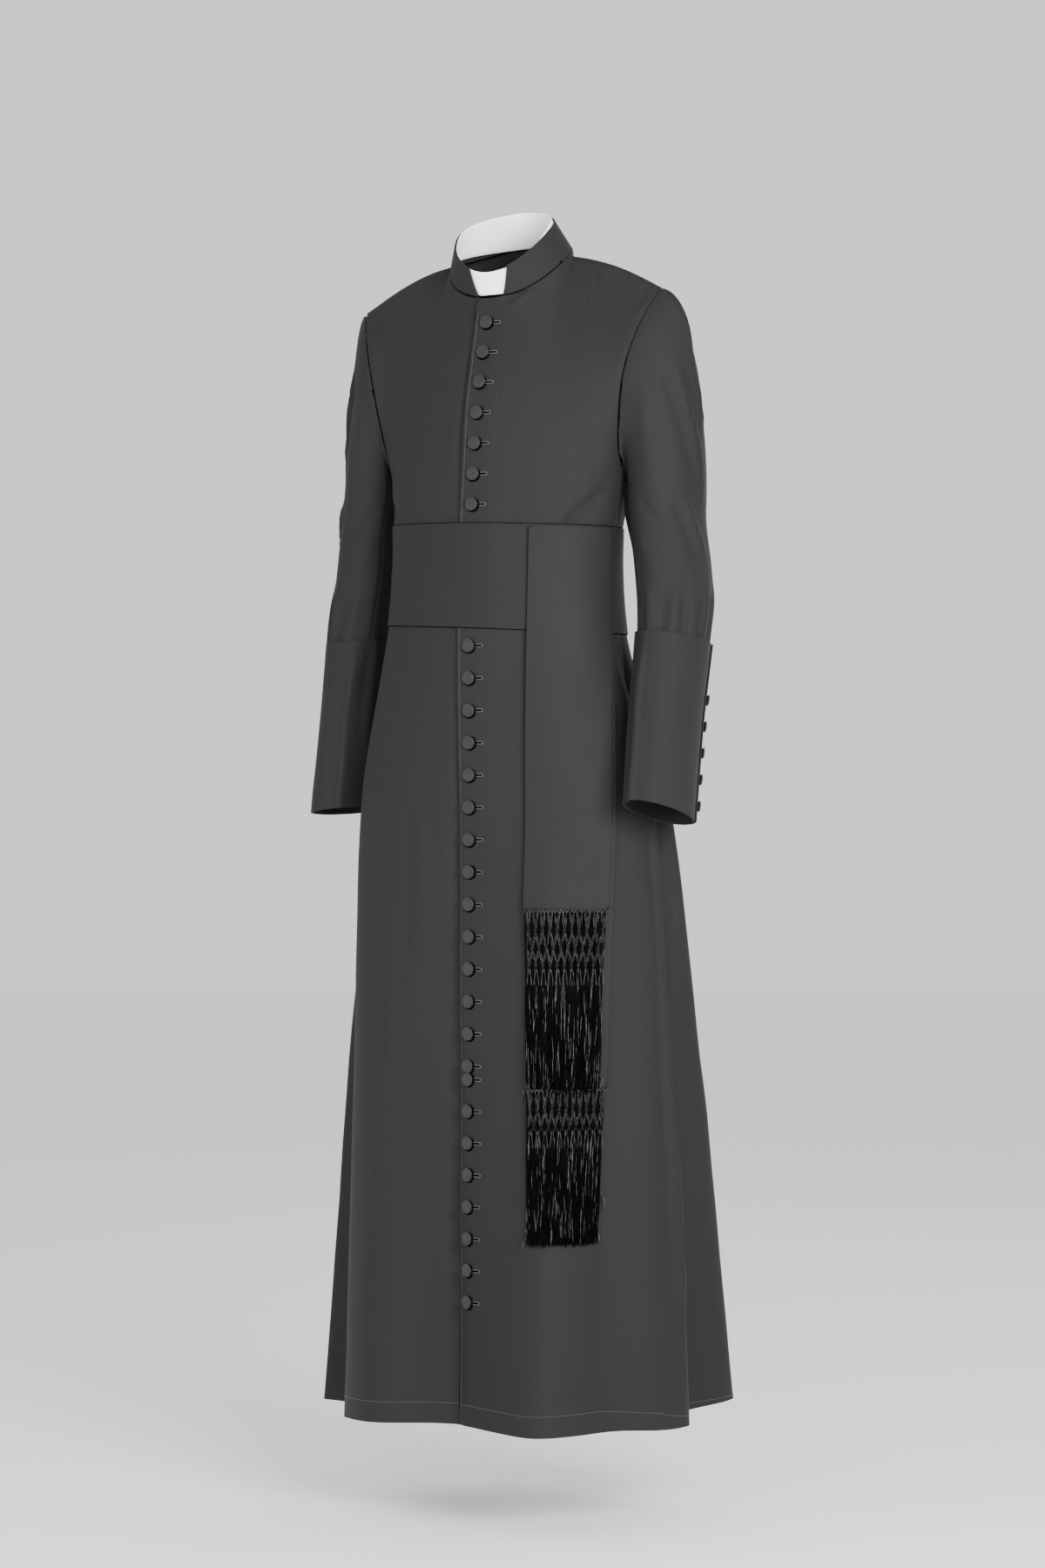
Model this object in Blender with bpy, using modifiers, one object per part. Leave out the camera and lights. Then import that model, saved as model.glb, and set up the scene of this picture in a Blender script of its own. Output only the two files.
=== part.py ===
"""A cassock with its cincture, kept in the hollow form that it takes when worn.

X is the wearer's left, -Y is in front of the wearer and Z is up. The origin is in the middle of the
neck opening, where the wearer holds the garment. The tables give heights over the ground that the
wearer stands on, and turns in degrees round the body: 0 at the centre front, 90 at the wearer's left
side, 180 at the centre back and -90 at the wearer's right side.
"""

import bisect
import math

import bmesh
import bpy
from mathutils import Vector

# Driving dimensions, in metres.
NECK_HEIGHT = 1.58
WALL = 0.002
GAP = 0.0003
OVERLAP = 0.017
UNDERLAP = 0.030
LAP_END = 0.050
RIGHT_DROP = 0.014
SHOULDER_HALF = 0.200
WAIST_TILT = 0.045
SHOULDER_CROWN = 0.007

BAND_TOP = 1.255
BAND_BOTTOM = 1.125
WAIST_SEAM = 1.190
BAND_WALL = 0.0025

TAIL_WIDTH = 0.105
TAIL_WALL = 0.0015
TAIL_GAP = 0.0010
TAIL_TOP = 1.250
# name, plumb edge off the centre line, height of the cloth's end, rows of knots, height of the strands' ends
TAILS = (
    ("back", 0.079, 0.554, 2, 0.360),
    ("front", 0.073, 0.774, 3, 0.545),
)
TAIL_DRIFT = 0.031
TAIL_COLUMNS = 8
TAIL_BENDS = (1.222, 1.190, 1.158, 1.125, 1.085, 1.040, 0.990, 0.930, 0.875, 0.820)
TAIL_STEP = 0.1
KNOTS_ACROSS = 11
KNOT_PITCH = TAIL_WIDTH / KNOTS_ACROSS
KNOT_ROW = 0.0215
KNOT_HALF = 0.0016
ROOT_PLACES = (-0.30, -0.06, 0.06, 0.30)
STRANDS_A_KNOT = 5
STRANDS_SPREAD = 0.86
STRANDS_DROP = 0.006
STRAND_SWAY = 0.0016
STRAND_SHORT = 0.006
STRIP_HEIGHT = 0.004
CORD_WALL = 0.0011

BUTTON_RADIUS = 0.0077
BUTTON_SIDES = 9
BUTTON_SEAT = 0.0006
BUTTON_DOME = (0.0044, 0.0038, 0.0020)  # heights at the middle, at the shoulder and at the rim
# first height, step down, number of buttons
FRONT_BUTTONS = (
    (1.5090, 0.0384, 7),
    (1.1025, 0.0403, 14),
    (0.5622, 0.0396, 8),
)
CUFF_BUTTONS = (1.0446, 0.0323, 5)
CUFF_BUTTON_TURN = -38
CUFF_BUTTON_SEAT = 0.0004

# The body below the arms, as level ovals.
RINGS = (
    # height, half_width, front_depth, back_depth
    (0.875, 0.200, 0.107, 0.156),
    (0.940, 0.194, 0.107, 0.151),
    (1.000, 0.182, 0.108, 0.144),
    (1.070, 0.168, 0.109, 0.132),
    (1.125, 0.157, 0.109, 0.122),
    (1.190, 0.151, 0.107, 0.113),
    (1.255, 0.151, 0.103, 0.118),
    (1.290, 0.154, 0.099, 0.126),
    (1.330, 0.160, 0.095, 0.130),
)
HIP = RINGS[0][0]
UNDERARM = RINGS[-1][0]

# The skirt's folds: how far each stands out at the hip, how far it bows out below that, and where it ends
# at the hem.
FOLDS = (
    # turn, hip_out, bow, hem_x, hem_y, hem_height
    (-180, 0.000, 0.0000, 0.000, 0.195, 0.140),
    (-150, 0.004, 0.0000, -0.112, 0.222, 0.138),
    (-125, -0.003, 0.0000, -0.192, 0.150, 0.134),
    (-102, 0.003, 0.0125, -0.2945, 0.058, 0.126),
    (-90, -0.003, 0.0000, -0.218, 0.040, 0.124),
    (-79, 0.004, 0.0000, -0.226, 0.000, 0.117),
    (-55, 0.000, 0.0000, -0.190, -0.074, 0.124),
    (-30, 0.003, 0.0000, -0.118, -0.128, 0.129),
    (-12, -0.002, 0.0000, -0.046, -0.092, 0.129),
    (0, 0.000, 0.0000, 0.002, -0.114, 0.130),
    (30, 0.002, 0.0000, 0.125, -0.182, 0.131),
    (52, -0.002, 0.0000, 0.193, -0.090, 0.133),
    (68, 0.002, 0.0000, 0.240, -0.046, 0.131),
    (80, 0.006, 0.0000, 0.247, 0.015, 0.131),
    (90, -0.002, 0.0000, 0.212, 0.045, 0.138),
    (103, 0.022, 0.0050, 0.256, 0.136, 0.147),
    (125, -0.003, 0.0000, 0.182, 0.168, 0.145),
    (150, 0.004, 0.0000, 0.108, 0.224, 0.142),
    (180, 0.000, 0.0000, 0.000, 0.195, 0.140),
)

# The edges of the upper body. The neck and collar tables run from the centre front to the centre back.
NECK_BASE = (0.0125, 0.083, 0.0615)  # centre y, half width, half depth
NECK_TOP = (-0.0066, 0.066, 0.0550)
NECK_LINE = (
    # turn, base_height, collar_top
    (0, 1.540, 1.572),
    (30, 1.549, 1.583),
    (60, 1.574, 1.608),
    (90, 1.600, 1.632),
    (135, 1.613, 1.650),
    (180, 1.616, 1.656),
)
CENTRE_LINES = {
    # share of the way up, y, height
    "front": ((0, -0.095, 1.330), (0.33, -0.085, 1.400), (0.67, -0.066, 1.470), (1, -0.049, 1.540)),
    "back": ((0, 0.130, 1.330), (0.30, 0.131, 1.415), (0.70, 0.110, 1.530), (1, 0.074, 1.616)),
}
ARMHOLES = {
    # share of the way up, x, y, height
    "front": (
        (0.00, 0.1600, 0.000, 1.3300),
        (0.12, 0.1605, -0.015, 1.3450),
        (0.35, 0.1680, -0.029, 1.4000),
        (0.55, 0.1750, -0.033, 1.4450),
        (0.75, 0.1865, -0.024, 1.4900),
        (0.90, 0.1980, -0.007, 1.5280),
        (1.00, 0.2070, 0.015, 1.5525),
    ),
    "back": (
        (0.00, 0.1600, 0.000, 1.3300),
        (0.12, 0.1595, 0.014, 1.3480),
        (0.35, 0.1630, 0.038, 1.4020),
        (0.60, 0.1760, 0.052, 1.4580),
        (0.80, 0.1910, 0.045, 1.5080),
        (1.00, 0.2070, 0.015, 1.5525),
    ),
}
NECK_SHARE = 38 / 90

# Both arms, from the underarm to the wrist.
ARMS = {
    # height, x, y, half_x, half_y, drop to the back, drop to the outside
    "left": (
        (1.300, 0.2055, 0.038, 0.0485, 0.0640, 0.00, 0.00),
        (1.260, 0.2080, 0.033, 0.0465, 0.0610, 0.03, 0.02),
        (1.200, 0.2180, 0.026, 0.0480, 0.0600, 0.07, 0.04),
        (1.150, 0.2255, 0.014, 0.0460, 0.0580, 0.10, 0.06),
        (1.100, 0.2280, -0.001, 0.0420, 0.0550, 0.15, 0.08),
        (1.000, 0.2310, -0.033, 0.0405, 0.0530, 0.22, 0.10),
        (0.895, 0.2370, -0.066, 0.0395, 0.0515, 0.28, 0.12),
    ),
    "right": (
        (1.300, 0.2035, 0.052, 0.0465, 0.0630, 0.00, 0.00),
        (1.260, 0.2085, 0.047, 0.0440, 0.0610, 0.00, 0.02),
        (1.200, 0.2140, 0.047, 0.0460, 0.0600, 0.01, 0.04),
        (1.150, 0.2210, 0.044, 0.0450, 0.0580, 0.02, 0.06),
        (1.100, 0.2270, 0.041, 0.0420, 0.0550, 0.03, 0.08),
        (1.000, 0.2360, 0.037, 0.0410, 0.0530, 0.05, 0.10),
        (0.895, 0.2470, 0.033, 0.0395, 0.0515, 0.05, 0.12),
    ),
}
SLEEVE_END = 1.085
CUFF_TOP = 1.112
CUFF_END = 0.895
SLEEVE_ROWS = (1.280, 1.260, 1.230, 1.200, 1.170, 1.140, SLEEVE_END)
CAP_SHARES = (0.0, 0.10, 0.26, 0.48, 0.74, 1.0)
# How the sleeve's head leaves the armhole at the top: out from the seam, and out over the arm below.
SLEEVE_HEADS = {"left": (0.045, 0.004), "right": (0.018, -0.010)}

# Where the grids of the panels have their lines.
FRONT_TURNS = (24, 31, 38, 46, 54, 61, 68, 74, 80, 85, 90)
BACK_TURNS = tuple(180 - turn for turn in reversed(FRONT_TURNS[2:])) + (148, 154, 160, 166, 173)
SKIRT_LEVELS = (0, 0.2, 0.4, 0.6, 0.8)
RING_HEIGHTS = (0.875, 0.940, 1.000, 1.070, 1.125, 1.158, 1.190, 1.222, 1.255, 1.290)
YOKE_STEPS = 8
ARM_SIDES = 2 * YOKE_STEPS
FRONT_SEAM = 6
HIND_SEAM = 11
CUFF_SIDES = 24
CUFF_LAP = 2
CUFF_EASE = 0.0014
CUFF_HEIGHTS = (CUFF_TOP, 1.060, 1.000, 0.945, CUFF_END)
COLLAR_LEVELS = (0.0, 0.5, 1.0)
COLLAR_SEAT = 0.0007
INSERT_WALL = 0.0012
INSERT_LEVELS = (0.06, 0.50, 0.92)
INSERT_RISE = 0.20
# The notch opens by this many degrees at each side towards the top edge, and that dies out over the reach.
NOTCH_SLANT = 12
NOTCH_REACH = 60


def clear_scene():
    for obj in list(bpy.data.objects):
        bpy.data.objects.remove(obj, do_unlink=True)


def make_material(name, colour, roughness):
    material = bpy.data.materials.new(name)
    material.use_nodes = True
    shader = material.node_tree.nodes["Principled BSDF"]
    shader.inputs["Base Color"].default_value = (*colour, 1)
    shader.inputs["Roughness"].default_value = roughness
    shader.inputs["Metallic"].default_value = 0
    return material


def read_curve(rows, column, at):
    """The smooth curve through one column of a table, read at a value of the table's first column."""
    keys = [row[0] for row in rows]
    last = len(rows) - 1
    low = min(max(bisect.bisect_right(keys, at) - 1, 0), last - 1)
    span = keys[low + 1] - keys[low]
    share = (at - keys[low]) / span
    slopes = []
    for here in (low, low + 1):
        before, after = max(here - 1, 0), min(here + 1, last)
        rise = rows[after][column] - rows[before][column]
        slopes.append(rise * span / (keys[after] - keys[before]))
    start, end = rows[low][column], rows[low + 1][column]
    square, cube = share**2, share**3
    return (
        start * (2 * cube - 3 * square + 1)
        + slopes[0] * (cube - 2 * square + share)
        + end * (3 * square - 2 * cube)
        + slopes[1] * (cube - square)
    )


def ease(share):
    share = min(max(share, 0), 1)
    return share * share * (3 - 2 * share)


def drop(x):
    """How much lower the wearer's right shoulder hangs at this x."""
    return RIGHT_DROP * min(max(-x / SHOULDER_HALF, 0), 1)


# ---- The body's surface


def ring_point(turn, height):
    """A point of the ovals between hip and underarm, with the skirt's folds growing out below the waist."""
    angle = math.radians(turn)
    half_width = read_curve(RINGS, 1, height)
    depth = read_curve(RINGS, 2 if abs(turn) <= 90 else 3, height)
    out = read_curve(FOLDS, 1, turn) * ease((BAND_BOTTOM - height) / (BAND_BOTTOM - HIP))
    x = half_width * math.sin(angle)
    y = -depth * math.cos(angle)
    away = Vector((x, y)).normalized() * out
    lean = WAIST_TILT * x * math.sin(math.pi * (height - HIP) / (UNDERARM - HIP))
    return Vector((x + away.x, y + away.y, height - lean))


def skirt_point(turn, share):
    """A point between the hem, at share 0, and the hip, at share 1."""
    hip = ring_point(turn, HIP)
    hem = Vector([read_curve(FOLDS, column, turn) for column in (3, 4, 5)])
    bow = read_curve(FOLDS, 2, turn) * 4 * share**2 * (1 - share**2)
    point = hem.lerp(hip, share)
    return point + Vector((point.x, point.y, 0)).normalized() * bow


def neck_point(turn, level):
    """A point of the collar's surface: level 0 is its seam, and 1 is its top edge."""
    angle = math.radians(turn)
    centre, half_width, half_depth = (
        low + (high - low) * level for low, high in zip(NECK_BASE, NECK_TOP)
    )
    around = abs((turn + 180) % 360 - 180)
    base = read_curve(NECK_LINE, 1, around)
    height = base + (read_curve(NECK_LINE, 2, around) - base) * level
    x = half_width * math.sin(angle)
    return Vector((x, centre - half_depth * math.cos(angle), height - drop(x)))


def yoke_point(turn, share, half):
    """A point of the upper body: a patch between underarm, armhole, shoulder seam, neck and centre line."""
    side = 1 if turn % 360 <= 180 else -1
    away = abs((turn + 180) % 360 - 180)
    across = away / 90 if half == "front" else (180 - away) / 90
    start = 0 if half == "front" else 180

    def low(part):
        return ring_point(start + (90 - start) * part, UNDERARM)

    def centre(part):
        rows = CENTRE_LINES[half]
        return Vector((0, read_curve(rows, 1, part), read_curve(rows, 2, part)))

    def armhole(part):
        return Vector([read_curve(ARMHOLES[half], column, part) for column in (1, 2, 3)])

    def high(part):
        if part <= NECK_SHARE:
            return neck_point(start + (90 - start) * part / NECK_SHARE, 0)
        along = (part - NECK_SHARE) / (1 - NECK_SHARE)
        seam = neck_point(90, 0).lerp(armhole(1), along)
        seam.z += SHOULDER_CROWN * math.sin(math.pi * along)
        return seam

    sides = centre(share).lerp(armhole(share), across)
    ends = low(across).lerp(high(across), share)
    corners = low(0).lerp(low(1), across).lerp(high(0).lerp(high(1), across), share)
    point = sides + ends - corners
    point.x *= side
    point.z -= drop(point.x) * share
    return point


def body_point(turn, level, half="front"):
    """Level runs from 0 at the hem through 1 at the hip and 2 at the underarm to 3 at neck and shoulder."""
    if level <= 1:
        return skirt_point(turn, level)
    if level <= 2:
        return ring_point(turn, HIP + (UNDERARM - HIP) * (level - 1))
    return yoke_point(turn, level - 2, half)


def turn_at(distance, level):
    """The turn whose point lies this far off the centre front line, measured along X."""
    low, high = 0.0, 60.0
    side = 1 if distance >= 0 else -1
    for _ in range(30):
        middle = (low + high) / 2
        if abs(body_point(side * middle, level).x) < abs(distance):
            low = middle
        else:
            high = middle
    return side * low


def level_at(turn, height):
    """The level of the body at this turn and height."""
    low, high = 0.0, 3.0
    for _ in range(30):
        middle = (low + high) / 2
        if body_point(turn, middle).z < height:
            low = middle
        else:
            high = middle
    return low


def level_of(height):
    return 1 + (height - HIP) / (UNDERARM - HIP)


# ---- Walls of cloth


def grid_faces(rows, columns, closed=False):
    """Triangles between the lines of a grid, all split along the same diagonal."""
    faces = []
    for row in range(rows - 1):
        for column in range(columns if closed else columns - 1):
            beside = (column + 1) % columns
            a, b = row * columns + column, row * columns + beside
            c, d = a + columns, b + columns
            faces += [(a, b, d), (a, d, c)]
    return faces


def surface_normals(grids):
    """Unit normals for the points of several grids, averaged where the grids share points."""
    found = {}

    def key(point):
        return tuple(round(value * 1e6) for value in point)

    for points, faces in grids:
        for face in faces:
            a, b, c = (points[corner] for corner in face)
            normal = (b - a).cross(c - a)
            for corner in face:
                place = key(points[corner])
                found[place] = found.get(place, Vector()) + normal
    return [[found[key(point)].normalized() for point in points] for points, _ in grids]


def trimmed(points, faces):
    """The points with those on the sheet's edges drawn in by half the seam gap."""
    ends = set()
    for face in faces:
        for start, end in zip(face, face[1:] + face[:1]):
            ends.add((start, end))
    edge = {corner for start, end in ends if (end, start) not in ends for corner in (start, end)}
    inward = {corner: Vector() for corner in edge}
    for start, end in ends:
        if start in edge and end not in edge:
            inward[start] += (points[end] - points[start]).normalized()
        if end in edge and start not in edge:
            inward[end] += (points[start] - points[end]).normalized()
    return [
        point + inward[index].normalized() * (GAP / 2) if index in edge else point
        for index, point in enumerate(points)
    ]


def make_object(name, vertices, faces, material, collection):
    mesh = bpy.data.meshes.new(name)
    shape = bmesh.new()
    corners = [shape.verts.new(vertex - Vector((0, 0, NECK_HEIGHT))) for vertex in vertices]
    for face in faces:
        shape.faces.new([corners[index] for index in face])
    bmesh.ops.recalc_face_normals(shape, faces=shape.faces)
    shape.to_mesh(mesh)
    shape.free()
    mesh.shade_smooth()
    mesh.set_sharp_from_angle(angle=math.radians(50))
    mesh.materials.append(material)
    obj = bpy.data.objects.new(name, mesh)
    collection.objects.link(obj)
    return obj


def make_wall(name, points, normals, faces, under, over, material, collection):
    """A closed sheet between two offsets from a surface, given for each point, with rims along its edges."""
    count = len(points)
    vertices = [point + normal * out for point, normal, out in zip(points, normals, over)]
    vertices += [point + normal * out for point, normal, out in zip(points, normals, under)]
    closed_faces = list(faces) + [tuple(index + count for index in reversed(face)) for face in faces]
    ends = {pair for face in faces for pair in zip(face, face[1:] + face[:1])}
    for start, end in sorted(ends):
        if (end, start) in ends:
            continue
        # Neighbours split their rims alike: from the outer corner that is lower to the inner one above it.
        if points[start].z <= points[end].z:
            closed_faces += [(end, start, end + count), (start, start + count, end + count)]
        else:
            closed_faces += [(end, start, start + count), (end, start + count, end + count)]
    return make_object(name, vertices, closed_faces, material, collection)


# ---- The body's panels


def body_levels():
    rings = [level_of(height) for height in RING_HEIGHTS]
    yoke = [2 + step / YOKE_STEPS for step in range(YOKE_STEPS + 1)]
    return list(SKIRT_LEVELS) + rings + yoke


def front_columns(level):
    """The turns of the fronts' grid lines at one level, from the right side seam to the left one."""
    near = [turn_at(distance, level) for distance in NEAR_COLUMNS]
    return [-turn for turn in reversed(FRONT_TURNS)] + near + list(FRONT_TURNS)


def back_columns():
    """The turns of the backs' grid lines, from the left side seam round to the right one."""
    left = list(BACK_TURNS)
    return left + [180] + [-turn for turn in reversed(left)]


NEAR_COLUMNS = (-LAP_END, -OVERLAP, 0, OVERLAP, UNDERLAP, LAP_END)
RIGHT_SIDE_COLUMN = 0
OVERLAP_COLUMN = len(FRONT_TURNS) + NEAR_COLUMNS.index(-OVERLAP)
NOTCH_COLUMN = len(FRONT_TURNS) + NEAR_COLUMNS.index(OVERLAP)
UNDERLAP_COLUMN = len(FRONT_TURNS) + NEAR_COLUMNS.index(UNDERLAP)
LAP_END_COLUMN = len(FRONT_TURNS) + NEAR_COLUMNS.index(LAP_END)
LEFT_SIDE_COLUMN = LAP_END_COLUMN + len(FRONT_TURNS)
CENTRE_BACK_COLUMN = len(BACK_TURNS)


def lift_of(column):
    """How far the left front stands off the surface at one of the front's columns, to lap over the right."""
    return WALL + GAP if OVERLAP_COLUMN <= column <= UNDERLAP_COLUMN else 0.0


def body_grids():
    """Points and normals of the front and the back as lists of rows, with shared normals at their seams."""
    levels = body_levels()
    front = [[body_point(turn, level) for turn in front_columns(level)] for level in levels]
    back = [[body_point(turn, level, "back") for turn in back_columns()] for level in levels]
    flat = []
    for rows in (front, back):
        points = [point for row in rows for point in row]
        flat.append((points, grid_faces(len(rows), len(rows[0]))))
    normals = surface_normals(flat)
    grids = []
    for rows, found in zip((front, back), normals):
        width = len(rows[0])
        grids.append((rows, [found[row * width : (row + 1) * width] for row in range(len(rows))]))
    return grids


def cut_panel(grid, low, high, first, last):
    """The rows low to high and columns first to last of a grid: flat points and normals, and their faces."""
    points = [point for row in grid[0][low : high + 1] for point in row[first : last + 1]]
    normals = [normal for row in grid[1][low : high + 1] for normal in row[first : last + 1]]
    faces = grid_faces(high - low + 1, last - first + 1)
    return trimmed(points, faces), normals, faces


def make_body(front, back, cloth, collection):
    """Four panels, each in two solids that meet at the waist, where the cincture covers them."""
    waist, top = body_levels().index(level_of(WAIST_SEAM)), len(front[0]) - 1
    pieces = (
        ("front_right", front, RIGHT_SIDE_COLUMN, UNDERLAP_COLUMN),
        ("front_left", front, OVERLAP_COLUMN, LEFT_SIDE_COLUMN),
        ("back_left", back, 0, CENTRE_BACK_COLUMN),
        ("back_right", back, CENTRE_BACK_COLUMN, 2 * CENTRE_BACK_COLUMN),
    )
    for name, grid, first, last in pieces:
        lapped = name == "front_left"
        for part, low, high in (("skirt", 0, waist), ("bodice", waist, top)):
            points, normals, faces = cut_panel(grid, low, high, first, last)
            lifts = [lift_of(column) if lapped else 0.0 for column in range(first, last + 1)]
            over = lifts * (high - low + 1)
            under = [out - WALL for out in over]
            make_wall(f"{part}_{name}", points, normals, faces, under, over, cloth, collection)


# ---- Sleeves and cuffs


def arm_point(side, turn, height):
    """A point round an arm: turn 0 is its outer side, 90 its front and 180 the side that faces the body."""
    rows = sorted(ARMS[side])
    x, y, half_x, half_y, back_drop, out_drop = (
        read_curve(rows, column, height) for column in range(1, 7)
    )
    angle = math.radians(turn)
    out, ahead = half_x * math.cos(angle), half_y * math.sin(angle)
    point = Vector((x + out, y - ahead, height + back_drop * ahead - out_drop * out))
    if side == "right":
        point.x = -point.x
    return point


def armhole_loop(side, front, back):
    """The armhole's points and the body's normals there, from the shoulder round by the front."""
    turn_front = LEFT_SIDE_COLUMN if side == "left" else RIGHT_SIDE_COLUMN
    turn_back = 0 if side == "left" else 2 * CENTRE_BACK_COLUMN
    top, bottom = len(front[0]) - 1, len(front[0]) - 1 - YOKE_STEPS
    places = [(front, row, turn_front) for row in range(top, bottom, -1)]
    places += [(back, row, turn_back) for row in range(bottom, top)]
    return [(grid[0][row][column], grid[1][row][column]) for grid, row, column in places]


def sleeve_rows(side, loop):
    """The sleeve's rings: the cap bends from the armhole down to the arm, and the rest follows the arm."""
    turns = [360 * step / ARM_SIDES for step in range(ARM_SIDES)]
    outward = 1 if side == "left" else -1
    head_out, arm_out = SLEEVE_HEADS[side]
    rows = []
    for share in CAP_SHARES:
        row = []
        for turn, (start, _) in zip(turns, loop):
            topness = (1 + math.cos(math.radians(turn))) / 2
            end = arm_point(side, turn, ARMS[side][0][0])
            fall = start.z - end.z
            first = start + Vector((outward * (0.006 + head_out * topness**2), 0, -0.004))
            second = end + Vector((outward * arm_out * topness, 0, 0.5 * fall))
            a, b = start.lerp(first, share), first.lerp(second, share)
            c = second.lerp(end, share)
            row.append(a.lerp(b, share).lerp(b.lerp(c, share), share))
        rows.append(row)
    for height in SLEEVE_ROWS:
        rows.append([arm_point(side, turn, height) for turn in turns])
    return rows


def make_sleeve(side, front, back, cloth, collection):
    loop = armhole_loop(side, front, back)
    rows = sleeve_rows(side, loop)
    points = [point for row in rows for point in row]
    faces = grid_faces(len(rows), ARM_SIDES, closed=True)
    if side == "right":
        faces = [tuple(reversed(face)) for face in faces]
    normals = surface_normals([(points, faces)])[0]
    middle = sum((point for point, _ in loop), Vector()) / ARM_SIDES
    for step, (point, body_normal) in enumerate(loop):
        along = loop[(step + 1) % ARM_SIDES][0] - loop[step - 1][0]
        away = along.cross(body_normal).normalized()
        if away.dot(middle - point) < 0:
            away = -away
        folded = max(0, -normals[step].dot(body_normal))
        points[step] = point + away * (GAP / 2) + body_normal * (GAP * min(1, 3 * folded))
        normals[step] = (normals[step] - away * max(0, normals[step].dot(away))).normalized()
    for name, first, last in (("top", HIND_SEAM, ARM_SIDES + FRONT_SEAM), ("under", FRONT_SEAM, HIND_SEAM)):
        chosen = [column % ARM_SIDES for column in range(first, last + 1)]
        picked = [row * ARM_SIDES + column for row in range(len(rows)) for column in chosen]
        piece = grid_faces(len(rows), len(chosen))
        if side == "right":
            piece = [tuple(reversed(face)) for face in piece]
        sheet = trimmed([points[index] for index in picked], piece)
        over = [0.0] * len(picked)
        under = [-WALL] * len(picked)
        chosen_normals = [normals[index] for index in picked]
        make_wall(f"sleeve_{name}_{side}", sheet, chosen_normals, piece, under, over, cloth, collection)


def make_cuff(side, cloth, collection):
    """A strip wrapped round the wrist. Its end laps over its start, behind the wrist, and is buttoned there."""
    step = 360 / CUFF_SIDES
    turns = [CUFF_BUTTON_TURN - step / 2 + step * index for index in range(CUFF_SIDES + CUFF_LAP)]
    points, faces, lifts = [], grid_faces(len(CUFF_HEIGHTS), len(turns)), []
    for height in CUFF_HEIGHTS:
        points += [arm_point(side, turn, height) for turn in turns]
        lifts += [CUFF_EASE + (WALL + GAP if index >= CUFF_SIDES else 0) for index in range(len(turns))]
    if side == "right":
        faces = [tuple(reversed(face)) for face in faces]
    normals = surface_normals([(points, faces)])[0]
    over = [lift + WALL for lift in lifts]
    make_wall(f"cuff_{side}", points, normals, faces, lifts, over, cloth, collection)


# ---- Collar and its insert


def neck_turns():
    """The collar's columns, which are the body's columns at the neck, from the notch's left side to its right."""
    front = front_columns(3)
    left = [turn for turn in front[NOTCH_COLUMN:] if turn <= 90 * NECK_SHARE]
    right = [turn for turn in front[: OVERLAP_COLUMN + 1] if turn >= -90 * NECK_SHARE]
    back = [180 - abs(turn) for turn in back_columns() if abs(turn) > 180 - 90 * NECK_SHARE]
    turns = [turn / NECK_SHARE for turn in left]
    half = len(back) // 2
    turns += [180 - away / NECK_SHARE for away in back[: half + 1]]
    turns += [180 + away / NECK_SHARE for away in back[half + 1 :]]
    return turns + [360 + turn / NECK_SHARE for turn in right]


def collar_turn(turn, turns, level):
    """The turn moved away from the notch, which opens towards the top edge."""
    near_start = max(0, 1 - (turn - turns[0]) / NOTCH_REACH)
    near_end = max(0, 1 - (turns[-1] - turn) / NOTCH_REACH)
    return turn + NOTCH_SLANT * level * (near_start - near_end)


def make_collar(cloth, collection):
    turns = neck_turns()
    points = []
    for level in COLLAR_LEVELS:
        points += [neck_point(collar_turn(turn, turns, level), level) for turn in turns]
    points = [point + Vector((0, 0, COLLAR_SEAT)) for point in points]
    faces = grid_faces(len(COLLAR_LEVELS), len(turns))
    normals = surface_normals([(points, faces)])[0]
    zeros, under = [0.0] * len(points), [-WALL] * len(points)
    make_wall("collar", points, normals, faces, under, zeros, cloth, collection)


def make_insert(white, collection):
    """A band that stands inside the collar, shows in its notch and rises a little over its sides."""
    turns = neck_turns()
    points = []
    for start in INSERT_LEVELS:
        for turn in turns + [360]:
            backness = ease((1 - math.cos(math.radians(turn))) / 1.4)
            level = start + (INSERT_RISE * backness if start == INSERT_LEVELS[-1] else 0)
            points.append(neck_point(collar_turn(turn, turns, level) if turn < 360 else 360, level))
    points = [point + Vector((0, 0, COLLAR_SEAT)) for point in points]
    faces = grid_faces(len(INSERT_LEVELS), len(turns) + 1, closed=True)
    normals = surface_normals([(points, faces)])[0]
    over = [-WALL - 2 * GAP] * len(points)
    under = [out - INSERT_WALL for out in over]
    make_wall("collar_insert", points, normals, faces, under, over, white, collection)


# ---- The cincture: a band with two tails that end in knotted fringe


def make_band(front, back, silk, collection):
    """The band lies on the outer side of the body's panels, so it is made from their points, moved out."""
    levels = body_levels()
    low, high = levels.index(level_of(BAND_BOTTOM)), levels.index(level_of(BAND_TOP))
    points, normals, lifts = [], [], []
    for row in range(low, high + 1):
        for grid, columns in ((front, range(LEFT_SIDE_COLUMN)), (back, range(2 * CENTRE_BACK_COLUMN))):
            points += [grid[0][row][column] for column in columns]
            normals += [grid[1][row][column] for column in columns]
            lifts += [lift_of(column) + GAP if grid is front else GAP for column in columns]
    around = LEFT_SIDE_COLUMN + 2 * CENTRE_BACK_COLUMN
    faces = grid_faces(high - low + 1, around, closed=True)
    over = [lift + BAND_WALL for lift in lifts]
    make_wall("cincture", points, normals, faces, lifts, over, silk, collection)


def hung_turn(plumb, width, height):
    """The turn that lies width metres round the body from the line that hangs plumb off the centre front."""
    level = level_at(30, height)
    turn = turn_at(plumb, level)
    here = body_point(turn, level)
    gone = 0.0
    while gone < width:
        step = body_point(turn + 0.5, level_at(turn + 0.5, height))
        length = (step - here).length
        if gone + length >= width:
            return turn + 0.5 * (width - gone) / length
        turn, here, gone = turn + 0.5, step, gone + length
    return turn


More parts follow.
